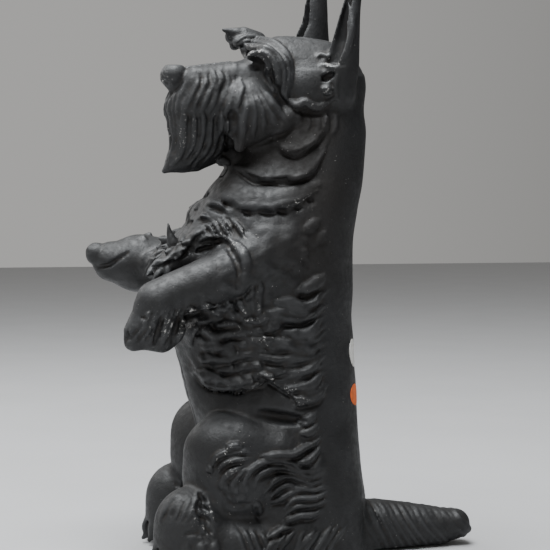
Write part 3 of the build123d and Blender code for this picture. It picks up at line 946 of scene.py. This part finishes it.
def ear_details(clay, skin, side):
    """The rolled rim of an ear, the folds at its root, and the pit and the knob under them."""
    shift = -2 if side == RIGHT else 0
    rim = [(7 + shift, 74), (7 + shift, 60), (5 + shift, 47), (1 + shift, 34), (-2, 22), (-1, 13)]
    lay_lock(clay, skin, skin.from_side(side, rim, HEAD), 2.0, 0.9, 0.8, (0.2, 0.6))
    for path in ([(-10, 38), (-7, 39.5), (-3.5, 38)], [(-10, 32), (-7.5, 33.5), (-4.5, 31.5)]):
        lay_lock(clay, skin, skin.from_side(side, path, HEAD), 1.9, 0.7, 1.0, (0.6, 0.6))
    undercut(clay, skin, skin.from_side(side, [(-10, 24), (-7.5, 25.5), (-3.5, 28.5)], HEAD), 2.4, 3.4)
    lay_lock(clay, skin, skin.from_side(side, [(-9, 18), (-6, 17.5)], HEAD), 3.6, 0.95, 1.0, (0.8, 0.8))


def brow_tufts(clay, skin, side):
    """The brow's thick locks, from their free ends over the eye, up, back and down to the cheek."""
    inner = np.array([(-51, 36), (-47, 36), (-43, 31), (-41, 24), (-39, 16)])
    outer = np.array([(-56, 42), (-46, 48), (-35, 45), (-28.5, 33), (-31, 13)])
    lift = (FAR_BROW_LIFT if side == RIGHT else 0.0) * eased(outer[:, 1], 15, 40)
    for share in (0, 0.27, 0.52, 0.76, 1):
        flat = inner + share * (outer - inner)
        flat[:, 1] += lift
        path = skin.from_side(side, curve(flat, 2.5), HEAD)
        if len(path) > 3:
            lay_lock(clay, skin, path, 2.6, 1.1, 0.6, (0.35, 0.35))
    clay.cut(egg((-50, side * 20, 32 + 0.8 * lift[0]), (6, 8, 4.5), HEAD, tilt=-25), 1.0)
    if side == RIGHT:
        clay.add(limb([(-36, 21, 45), (-45, 21, 48), (-52, 22, 48)], [7, 6.5, 5], HEAD), 2)
        for drop in (0, 4, 7):
            path = [(-50, 20 + drop / 2, 50 - drop), (-59 + drop, 20 + drop, 52 - drop)]
            clay.add(limb(path, [4, 1.2], HEAD), 0.8)


def nose(clay):
    """The nose's flat top and its nostrils."""
    clay.cut(egg((-96, 0, 39.5), (24, 18, 10), HEAD, tilt=3), 1.0)
    for side in SIDES:
        clay.cut(egg((-106, side * 4.5, 18), (4, 2.2, 2.2), HEAD), 0.8)


def toes(clay):
    """Grooves between the toes of all four feet, and their claws."""
    for side in SIDES:
        back = 0 if side == LEFT else FAR_FOOT_BACK
        for gap in (-1, 1):
            y = side * (40 + 4.5 * gap)
            clay.cut(limb([(back - 78, y, 22), (back - 91, y, 13), (back - 92, y, 2)], [1.2, 2.0, 2.4]), 1.5)
        for toe in (-1, 0, 1):
            y = side * (40 + 9 * toe)
            clay.add(limb([(back - 88, y, 8), (back - 93.5 + 3 * abs(toe), y, 3.5)], [3, 1.4]), 1.0)
    for gap in (-1, 1):
        near_paw = [(-99, -43 + 4 * gap, 160), (-108, -43 + 3.4 * gap, 150), (-112, -43 + 2.5 * gap, 140)]
        clay.cut(limb(near_paw, [0.5, 1.1, 1.4]), 1.2)
        far_paw = [(-106, 47 + 4 * gap, 203), (-117, 46 + 3 * gap, 202), (-124, 46 + 2.5 * gap, 196)]
        clay.cut(limb(far_paw, [0.4, 0.9, 0.7]), 0.8)
    clay.cut(limb([(-121, 37, 185), (-112, 31, 187), (-100, 28, 195)], [1.8, 1.7, 0.6]), 1.5)


RIB_MIDDLE = 165  # height of the ribs' middle
FOOT_CREASE = (-63, 35)  # place fore and aft and height of the crease behind a hind foot


def roughen(skin):
    """Slow waves all over the dog, finer ones over the ribs, and rough ones in the hind feet's creases."""
    along, _across, height = skin.at
    skin.swell(ripple(skin.at, 26) * 0.22)
    fore_and_aft = eased(-along, -FUR_BACK, -FUR_BACK + 12) * eased(along, -66, -54)
    ribs = fore_and_aft * eased(-np.abs(height - RIB_MIDDLE), -58, -42)
    skin.swell(ripple(skin.at, 9) * 0.32 * ribs)
    crease = np.exp(-(((along - FOOT_CREASE[0]) / 5.5) ** 2 + ((height - FOOT_CREASE[1]) / 10) ** 2))
    skin.swell(ripple(skin.at, 4.5) * 0.9 * crease)


def lay_coat(clay):
    """The whole coat."""
    smooth = clay.another(clay.field)
    skin = Skin(clay)
    roughen(skin)
    front = Relief((-62, 0), (62, 262))
    chest(front)
    skin.carve(front, (Y, Z), X, -1, facing=(0.45, 0.8))
    chin = Relief((-40, -50), (40, 40))
    chin_to_nose(chin)
    skin.carve(chin, (Y, Z), X, -1, HEAD, (0.5, 0.85))
    crown = Relief((-110, -40), (40, 40))
    muzzle_top(crown)
    skin.carve(crown, (X, Y), Z, 1, HEAD, (0.55, 0.85))
    for side in SIDES:
        body = Relief((-131, 0), (131, 290))
        for draw in (flank, flank_tufts, haunch, hind_foot, tail_fur, fur_edges, bib_locks, sleeve):
            draw(body)
        front_paw(body, side)
        skin.carve(body, (X, Z), Y, side)
        face = Relief((-115, -50), (50, 60))
        beard(face)
        skin.carve(face, (X, Z), Y, side, HEAD)
    for side in SIDES:
        lips(clay, smooth, side)
        ear_details(clay, smooth, side)
        brow_tufts(clay, smooth, side)
    mane_tufts(clay, smooth)
    nose(clay)
    toes(clay)


# ---- the castings

BASE = 1.5  # underside of the iron
WALL = 6.0
NECK_HOLLOW_TOP = 280
PARTING_GAP = 0.1  # between the two castings
NECK_STEP = 244.0  # above this height the parting surface turns with the head
SCREW_RADIUS = 3.2
SEAM_OVERLAP = 5  # how far a screw's hole is cut past the seam
THREAD_ROOM = 3  # beyond a screw's tip
SHANK_HOLE = 3.55
HEAD_HEIGHT = 4.0
RECESS = 7.5
BOSS = 10.0
PIN_RADIUS = 3.03
PIN_BOSS = 7.0
STUD_HOLE = 3.55
STUD_DEPTH = 10.6
STUD_PAD = 9.0
STUD_PAD_HEIGHT = 14.0
REACH = 80.0  # past the dog's side, whichever way it is measured
RIM_BLEND = 1.5


def hollow(clay):
    """The distance to the space inside both castings, on the clay's grid."""
    space = clay.another()
    space.add(torso(-WALL, NECK_HOLLOW_TOP))
    for side in SIDES:
        space.add(egg((-38, side * 29, 58), (35 - WALL, 27 - WALL, 36 - WALL)), 2)
        space.cut(egg((-14, side * 44, 93), (26, 13, 13)), 2)
    space.add(egg((-8, 0, 19), (42 - WALL, 30 - WALL, 30 - WALL), HEAD), 2)
    return space


def studs():
    """The middles of the rubber studs, as the frame has them."""
    boxes = [node_box(node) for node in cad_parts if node.endswith("stud")]
    return [(low[:2] + high[:2]) / 2 for low, high in boxes]


def fixings():
    """The screws and pins as the frame has them: place, height, lowest and highest y."""
    found = {"screw": [], "pin": []}
    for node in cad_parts:
        for kind in found:
            if node.endswith(kind):
                low, high = node_box(node)
                found[kind].append(((low[0] + high[0]) / 2, (low[2] + high[2]) / 2, low[1], high[1]))
    return found


def parting_distance(clay, side):
    """How far each grid point is beyond one casting's side of the parting surface."""
    x, y, z = clay.everywhere()
    drift = np.where(z > NECK_STEP, np.minimum(x - HEAD.origin[0], 0) * math.tan(HEAD_TURN), 0)
    return PARTING_GAP / 2 - side * (y - drift)


def casting_field(clay, space, side):
    """One casting: its half of the skin, less the hollow, with bosses, holes and recesses."""
    held = fixings()
    room = space.another(space.field)
    for kind, radius in (("screw", BOSS), ("pin", PIN_BOSS)):
        for place, height, *_ends in held[kind]:
            room.cut(rod(place, height, -REACH, REACH, radius), RIM_BLEND)
    for x, y in studs():
        room.cut(post(x, y, -REACH, STUD_PAD_HEIGHT, STUD_PAD), RIM_BLEND)
    walls = np.maximum(clay.field, -room.field)
    iron = clay.another(np.maximum(walls, parting_distance(clay, side)).astype(np.float32))
    for place, height, low, high in held["screw"]:
        if side == RIGHT:
            iron.cut(rod(place, height, -SEAM_OVERLAP, high, SHANK_HOLE))
            iron.cut(rod(place, height, high - HEAD_HEIGHT, REACH, RECESS), 0.6)
        else:
            iron.cut(rod(place, height, low - THREAD_ROOM, SEAM_OVERLAP, SCREW_RADIUS))
    for place, height, low, high in held["pin"]:
        iron.cut(rod(place, height, low, high, PIN_RADIUS))
    for x, y in studs():
        iron.cut(post(x, y, -REACH, STUD_DEPTH, STUD_HOLE))
    return iron


def surface_net(field, low, step):
    """The zero surface of a field as points and quads: one point in each cell that it crosses."""
    field = np.pad(field, 1, constant_values=FAR)
    shape = np.array(field.shape)
    strides = np.array([shape[1] * shape[2], shape[2], 1])
    inside = field < 0
    cells, places, quads = [], [], []
    for axis in range(3):
        near, far = [slice(None)] * 3, [slice(None)] * 3
        near[axis], far[axis] = slice(0, -1), slice(1, None)
        here, there = inside[tuple(near)], inside[tuple(far)]
        at = np.argwhere(here != there)
        a = field[tuple(near)][tuple(at.T)]
        b = field[tuple(far)][tuple(at.T)]
        point = at.astype(float)
        point[:, axis] += a / (a - b)
        one, two = (axis + 1) % 3, (axis + 2) % 3
        corners = []
        for back_one, back_two in ((0, 0), (1, 0), (1, 1), (0, 1)):
            cell = at.copy()
            cell[:, one] -= back_one
            cell[:, two] -= back_two
            corners.append(cell @ strides)
            cells.append(corners[-1])
            places.append(point)
        ring = np.stack(corners, axis=1)
        flip = here[tuple(at.T)]
        quads.append(np.where(flip[:, None], ring, ring[:, ::-1]))
    cells, places, quads = np.concatenate(cells), np.concatenate(places), np.concatenate(quads)
    ids, owner = np.unique(cells, return_inverse=True)
    count = np.bincount(owner)
    points = np.column_stack([np.bincount(owner, places[:, i]) / count for i in range(3)])
    return np.asarray(low) + (points - 1) * step, np.searchsorted(ids, quads)


def show(name, data):
    """A new object in the scene, for a mesh, a camera or a light."""
    item = bpy.data.objects.new(name, data)
    bpy.context.scene.collection.objects.link(item)
    return item


def shade_smooth(mesh):
    """Smooth shading all over."""
    mesh.polygons.foreach_set("use_smooth", np.ones(len(mesh.polygons), bool))


def make_mesh(name, points, faces):
    """A smooth mesh object from points in design millimetres and faces that all have as many corners."""
    mesh = bpy.data.meshes.new(name)
    mesh.vertices.add(len(points))
    mesh.vertices.foreach_set("co", (points * MM).astype(np.float32).ravel())
    mesh.loops.add(faces.size)
    mesh.loops.foreach_set("vertex_index", faces.astype(np.int32).ravel())
    mesh.polygons.add(len(faces))
    mesh.polygons.foreach_set("loop_start", np.arange(0, faces.size, faces.shape[1], dtype=np.int32))
    mesh.update(calc_edges=True)
    mesh.validate()
    shade_smooth(mesh)
    return show(name, mesh)


def keep_under(item, limit):
    """Thins a mesh to at most limit triangles, first where it is flat."""
    triangles = sum(len(p.vertices) - 2 for p in item.data.polygons)
    if triangles > limit:
        modifier = item.modifiers.new("thin", "DECIMATE")
        modifier.ratio = limit / triangles
        shown = item.evaluated_get(bpy.context.evaluated_depsgraph_get())
        thinned = bpy.data.meshes.new_from_object(shown)
        item.modifiers.clear()
        full = item.data
        item.data = thinned
        bpy.data.meshes.remove(full)
        shade_smooth(thinned)


CREST_REACH = 2.5  # how far off the skin is looked at, to tell a ridge from a crease
SHARP = 0.7  # the mean distance there, on the sharpest ridges
# Where the paint is worn most: place fore and aft, height, reach
WORN = (
    (-86, 152, 12),
    (-66, 160, 10),
    (-35, 158, 9),
    (-24, 141, 6),
    (-22, 118, 7),
    (-9, 111, 6),
    (-2, 104, 5),
    (-50, 74, 9),
    (-63, 36, 8),
    (10, 297, 8),
    (19, 316, 7),
    (-26, 321, 7),
    (-20, 308, 5),
    (-86, 302, 7),
    (-3, 230, 7),
    (-44, 208, 8),
    (-77, 270, 11),
)
# Where painted shade darkens the paint to a dull brown, under the head and the mane where the head shadows
# the neck: the same three measures
SHADE_UNDER_HEAD = (
    (-32, 259, 14),
    (-5, 265, 18),
    (14, 276, 14),
    (-47, 243, 9),
    (16, 236, 22),
    (8, 196, 22),
)


def spots(points, table):
    """1 in the middle of each of a table's places, falling to 0 round it."""
    total = 0.0
    for place, height, reach in table:
        total = total + np.exp(-((points[:, 0] - place) ** 2 + (points[:, 2] - height) ** 2) / reach**2)
    return np.minimum(total, 1)


def mark_paint(item, clay):
    """Stores at each point what the paint needs: crest (-1 in a crease, 1 on a ridge), wear, and the painted
    shade under the head and mane.
    """
    points = np.empty(len(item.data.vertices) * 3, np.float32)
    item.data.vertices.foreach_get("co", points)
    points = points.reshape(-1, 3) / MM
    around = sum(clay.read(points + way * CREST_REACH * axis) for axis in np.eye(3) for way in (-1, 1)) / 6
    crest = np.clip((around - clay.read(points)) / SHARP, -1, 1)
    # the third mark is painted shade: the paint is darkened to a dull brown where the head and the mane
    # shadow the neck and shoulder
    marks = {"crest": crest, "wear": spots(points, WORN), "head_shade": spots(points, SHADE_UNDER_HEAD)}
    for name, values in marks.items():
        stored = item.data.attributes.new(name, "FLOAT", "POINT")
        stored.data.foreach_set("value", values.astype(np.float32))


# ---- materials


class Coating:
    """A node material being made up: its shader, and functions that add nodes and join them.

    A value given to them is a number, a colour or another node's output.
    """

    def __init__(self, name):
        self.material = bpy.data.materials.new(name)
        self.material.use_nodes = True
        self.tree = self.material.node_tree
        self.shader = self.tree.nodes["Principled BSDF"]
        self.coordinates = self.tree.nodes.new("ShaderNodeTexCoord").outputs["Object"]

    def fill(self, node, values):
        """Sets or joins a node's sockets."""
        for key, value in values.items():
            if isinstance(value, bpy.types.NodeSocket):
                self.tree.links.new(value, node.inputs[key])
            else:
                node.inputs[key].default_value = (*value, 1) if isinstance(value, tuple) else value
        return node

    def coat(self, colour, roughness, relief=None):
        """Gives the shader its colour, roughness and bump, and returns the finished material."""
        self.fill(self.shader, {"Base Color": colour, "Roughness": roughness})
        if relief is not None:
            self.fill(self.shader, {"Normal": relief.outputs["Normal"]})
        return self.material

    def noise(self, per_mm, detail=3.0, roughness=0.55):
        """Noise with that many lumps in a millimetre."""
        node = self.tree.nodes.new("ShaderNodeTexNoise")
        self.fill(node, {"Vector": self.coordinates, "Scale": per_mm / MM})
        return self.fill(node, {"Detail": detail, "Roughness": roughness}).outputs["Fac"]

    def ramp(self, value, start, end, low=0.0, high=1.0):
        """The value spread from start..end on to low..high, and held there beyond."""
        node = self.tree.nodes.new("ShaderNodeMapRange")
        node.interpolation_type = "SMOOTHSTEP"
        self.fill(node, {"Value": value, "From Min": start, "From Max": end, "To Min": low, "To Max": high})
        return node.outputs["Result"]

    def maths(self, operation, first, second):
        """Two values joined by an operation."""
        node = self.tree.nodes.new("ShaderNodeMath")
        node.operation = operation
        return self.fill(node, {0: first, 1: second}).outputs[0]

    def times(self, first, second):
        """One value times the other."""
        return self.maths("MULTIPLY", first, second)

    def blend(self, share, first, second):
        """A colour between two."""
        node = self.tree.nodes.new("ShaderNodeMix")
        node.data_type = "RGBA"
        return self.fill(node, {"Factor": share, 6: first, 7: second}).outputs[2]

    def bump(self, height, strength, depth):
        """Small relief of that many millimetres."""
        node = self.tree.nodes.new("ShaderNodeBump")
        return self.fill(node, {"Height": height, "Strength": strength, "Distance": depth * MM})

    def mark(self, name):
        """A value stored at the mesh's points."""
        node = self.tree.nodes.new("ShaderNodeAttribute")
        node.attribute_name = name
        return node.outputs["Fac"]


SATIN_BLACK = (0.0085, 0.0085, 0.0088)
SATIN_GREY = (0.0130, 0.0133, 0.0142)
RUBBED_GREY = (0.040, 0.041, 0.043)
HOLLOW_BROWN = (0.017, 0.0125, 0.009)
# the colour of the painted shade under the head and mane
SHADE_BROWN = (0.0095, 0.0075, 0.0062)
BARE_METAL = (0.40, 0.39, 0.37)
ZINC = (0.30, 0.30, 0.31)
TARNISH = (0.13, 0.11, 0.09)
RUBBER = (0.012, 0.012, 0.012)
DUSTY_RUBBER = (0.05, 0.048, 0.045)
FLOOR_SHADE = (0.40, 0.40, 0.405)
FLOOR_DIM = 0.97  # how much of that is left where the floor is darkest
# Labels: clean and grubby paper
PAPER = {
    "white": ((0.80, 0.79, 0.76), (0.55, 0.53, 0.48)),
    "orange": ((0.90, 0.16, 0.02), (0.62, 0.12, 0.02)),
}


def painted_iron():
    """Old satin black paint on cast iron, brown in its hollows and chipped to pale metal where it is worn,
    with painted shade in dull brown under the head and mane.
    """
    make = Coating("painted_iron")
    crest, wear, head_shade = make.mark("crest"), make.mark("wear"), make.mark("head_shade")
    cloud = make.noise(0.035, 2.0)
    grain = make.noise(0.9, 4.0, 0.65)
    pits = make.noise(0.25, 3.0)
    speck = make.noise(1.0, 1.0, 0.4)
    flake = make.noise(0.55, 3.0, 0.6)
    edge = make.ramp(crest, 0.05, 0.6)
    rubbed = make.times(edge, make.ramp(cloud, 0.35, 0.65, 0.25, 1.0))
    polish = make.times(edge, wear)
    chips = make.times(polish, make.ramp(flake, 0.58, 0.63))
    dust = make.times(make.ramp(speck, 0.775, 0.80), make.ramp(cloud, 0.40, 0.6))
    pale = make.maths("MAXIMUM", chips, dust)
    brown = make.times(make.ramp(crest, 0.1, -0.6), make.ramp(pits, 0.40, 0.62))
    colour = make.blend(make.ramp(cloud, 0.35, 0.65), SATIN_BLACK, SATIN_GREY)
    for share, amount, shade in (
        (rubbed, 0.5, RUBBED_GREY),
        (brown, 0.6, HOLLOW_BROWN),
        # painted shade under the head and mane, in dull brown
        (head_shade, 0.75, SHADE_BROWN),
    ):
        colour = make.blend(make.times(share, amount), colour, shade)
    colour = make.blend(pale, colour, BARE_METAL)
    satin = make.ramp(make.maths("ADD", pits, make.times(pale, 0.3)), 0.3, 0.8, 0.46, 0.70)
    rubbed_smooth = make.maths("SUBTRACT", satin, make.times(polish, 0.2))
    roughness = make.maths("ADD", rubbed_smooth, make.times(head_shade, 0.2))
    fine = make.bump(grain, 0.38, 0.5)
    coarse = make.fill(make.bump(pits, 0.30, 1.2), {"Normal": fine.outputs["Normal"]})
    make.shader.inputs["Specular IOR Level"].default_value = 0.45
    return make.coat(colour, roughness, coarse)


def plated_steel():
    """Dull zinc plating with turning marks and a little tarnish."""
    make = Coating("dull_plated_steel")
    cloud = make.noise(0.25, 3.0)
    grain = make.noise(2.2, 2.0)
    make.shader.inputs["Metallic"].default_value = 1.0
    colour = make.blend(make.ramp(cloud, 0.4, 0.65), ZINC, TARNISH)
    return make.coat(colour, make.ramp(grain, 0.3, 0.7, 0.30, 0.52), make.bump(grain, 0.25, 0.12))


def stud_rubber():
    """Black rubber, greyed by dust."""
    make = Coating("dusty_rubber")
    cloud = make.noise(0.3, 3.0)
    grain = make.noise(2.5, 3.0)
    colour = make.blend(make.ramp(cloud, 0.4, 0.7), RUBBER, DUSTY_RUBBER)
    return make.coat(colour, make.ramp(grain, 0.3, 0.7, 0.7, 0.88), make.bump(grain, 0.4, 0.15))


def label_paper(name, clean, grubby):
    """A paper dot: faintly fibrous, and grubbier in places."""
    make = Coating(name)
    fibre = make.noise(3.0, 4.0)
    stain = make.noise(0.2, 2.0)
    colour = make.blend(make.ramp(stain, 0.45, 0.75), clean, grubby)
    return make.coat(colour, make.ramp(fibre, 0.3, 0.7, 0.55, 0.75), make.bump(fibre, 0.3, 0.08))


def pale_floor():
    """Plain matt card, very slightly uneven."""
    make = Coating("pale_floor")
    dim = tuple(FLOOR_DIM * value for value in FLOOR_SHADE)
    colour = make.blend(make.ramp(make.noise(0.01, 2.0), 0.3, 0.7), FLOOR_SHADE, dim)
    return make.coat(colour, make.ramp(make.noise(0.4, 3.0), 0.3, 0.7, 0.62, 0.74))


# ---- building


def sculpt():
    """The whole dog in clay, standing on the underside of the iron."""
    dog = Clay(GRID_LOW, GRID_HIGH, STEP)
    rough_out(dog)
    lay_coat(dog)
    height = dog.everywhere()[Z]
    dog.field = np.maximum(dog.field, BASE - height).astype(np.float32)
    return dog


clay = sculpt()
space = hollow(clay)
iron_paint = painted_iron()
for side, name in ((LEFT, "left_casting"), (RIGHT, "right_casting")):
    iron = casting_field(clay, space, side)
    half = make_mesh(name + "_iron", *surface_net(iron.field, iron.low, iron.step))
    keep_under(half, FACE_LIMIT)
    mark_paint(half, clay)
    half.data.materials.append(iron_paint)
    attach(half, "root")
    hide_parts(name)


LABEL_THICKNESS = 0.3
LABEL_SINK = 0.1
LABEL_RINGS = 10
LABEL_SPOKES = 48
LABEL_SMOOTHING = 4.0  # reach over which the skin's direction is taken under a label


def paper_label(name, node, clay):
    """A paper dot stuck on the dog's back where a CAD node has it, following the skin."""
    low, high = node_box(node)
    middle, half_size = (low + high) / 2, (high - low) / 2
    start = [(REACH, middle[1], middle[2])]
    for ring in range(1, LABEL_RINGS + 1):
        for spoke in range(LABEL_SPOKES):
            angle = 2 * math.pi * spoke / LABEL_SPOKES
            across, up = ring / LABEL_RINGS * math.cos(angle), ring / LABEL_RINGS * math.sin(angle)
            start.append((REACH, middle[1] + across * half_size[1], middle[2] + up * half_size[2]))
    skin, _found = clay.strike(np.array(start), np.array([-1.0, 0, 0]), REACH)
    out = clay.normal(skin, LABEL_SMOOTHING)
    shape = bmesh.new()
    top = [shape.verts.new(p * MM) for p in skin + LABEL_THICKNESS * out]
    under = [shape.verts.new(p * MM) for p in skin - LABEL_SINK * out]
    rim = 1 + (LABEL_RINGS - 1) * LABEL_SPOKES
    for spoke in range(LABEL_SPOKES):
        after = (spoke + 1) % LABEL_SPOKES
        for sheet in (top, under):
            shape.faces.new((sheet[0], sheet[1 + spoke], sheet[1 + after]))
            for first in range(1, rim, LABEL_SPOKES):
                second = first + LABEL_SPOKES
                corners = (first + spoke, second + spoke, second + after, first + after)
                shape.faces.new([sheet[corner] for corner in corners])
        shape.faces.new((top[rim + spoke], under[rim + spoke], under[rim + after], top[rim + after]))
    bmesh.ops.recalc_face_normals(shape, faces=shape.faces)
    mesh = bpy.data.meshes.new(name)
    shape.to_mesh(mesh)
    shape.free()
    return show(name, mesh)


for colour, shades in PAPER.items():
    label = paper_label(colour + "_label_dot", colour + "_label", clay)
    label.data.materials.append(label_paper(colour + "_paper_dot", *shades))
    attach(label, "root")
    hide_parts(colour + "_label")

steel, rubber = plated_steel(), stud_rubber()
for node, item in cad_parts.items():
    for ending, material in (("screw", steel), ("pin", steel), ("stud", rubber)):
        if node.endswith(ending):
            for held in item.material_slots:
                held.material = material

# ---- stage

FLOOR_REACH = 4.0  # metres each way
floor_corners = [(a * FLOOR_REACH, b * FLOOR_REACH, 0) for a, b in ((-1, -1), (1, -1), (1, 1), (-1, 1))]
floor_mesh = bpy.data.meshes.new("floor")
floor_mesh.from_pydata(floor_corners, [], [(0, 1, 2, 3)])
floor_mesh.materials.append(pale_floor())
floor = show("floor", floor_mesh)

VIEW_AZIMUTH = math.radians(-12)
VIEW_ELEVATION = math.radians(3)
VIEW_DISTANCE = 1000 * MM
VIEW_TARGET = Vector((-7.5, 0, 181)) * MM
VIEW_WIDTH = 357.5 * MM  # what the picture's width spans at the target
SENSOR_WIDTH = 36  # millimetres, the camera's own
# Studio lights that face the target: place and size in design millimetres, watts, colour
LIGHTS = {
    "key": ((-300, -120, 1600), 1200, 74, (0.95, 0.98, 1.0)),
    "rim": ((-700, 800, 800), 700, 4, (1, 1, 1)),
}
WORLD_COLOUR = (0.73, 0.72, 0.70)
WORLD_STRENGTH = 0.58
WORLD_DIM = 0.12  # what is left of it behind the dog
WORLD_DIM_FROM = 0.95  # it is darkest in directions that lie this much along +X


def stand(item, place):
    """Puts a camera or a light at a place, facing the target."""
    item.location = place
    item.rotation_mode = "QUATERNION"
    item.rotation_quaternion = (VIEW_TARGET - place).to_track_quat("-Z", "Y")


def picture_camera():
    """The camera, at the photograph's viewing angle."""
    across, toward = math.sin(VIEW_AZIMUTH), -math.cos(VIEW_AZIMUTH)
    level = math.cos(VIEW_ELEVATION)
    outward = Vector((across * level, toward * level, math.sin(VIEW_ELEVATION)))
    data = bpy.data.cameras.new("camera")
    data.sensor_width = SENSOR_WIDTH
    data.lens = SENSOR_WIDTH * VIEW_DISTANCE / VIEW_WIDTH
    camera = show("camera", data)
    stand(camera, VIEW_TARGET + outward * VIEW_DISTANCE)
    bpy.context.scene.camera = camera


def soft_light(name, place, size, watts, colour):
    """A square studio light."""
    data = bpy.data.lights.new(name, "AREA")
    data.size = size * MM
    data.energy = watts
    data.color = colour
    stand(show(name, data), Vector(place) * MM)


def studio_world():
    """An even grey studio, darker on the side behind the dog."""
    world = bpy.data.worlds.new("studio")
    bpy.context.scene.world = world
    world.use_nodes = True
    tree = world.node_tree
    heading = tree.nodes.new("ShaderNodeTexCoord").outputs["Generated"]
    split = tree.nodes.new("ShaderNodeSeparateXYZ")
    fade = tree.nodes.new("ShaderNodeMapRange")
    fade.interpolation_type = "SMOOTHSTEP"
    ends = {"From Max": WORLD_DIM_FROM, "To Min": WORLD_STRENGTH, "To Max": WORLD_STRENGTH * WORLD_DIM}
    for key, value in ends.items():
        fade.inputs[key].default_value = value
    tree.links.new(heading, split.inputs["Vector"])
    tree.links.new(split.outputs["X"], fade.inputs["Value"])
    shade = tree.nodes["Background"]
    shade.inputs["Color"].default_value = (*WORLD_COLOUR, 1)
    tree.links.new(fade.outputs["Result"], shade.inputs["Strength"])


picture_camera()
for light, settings in LIGHTS.items():
    soft_light(light, *settings)
studio_world()
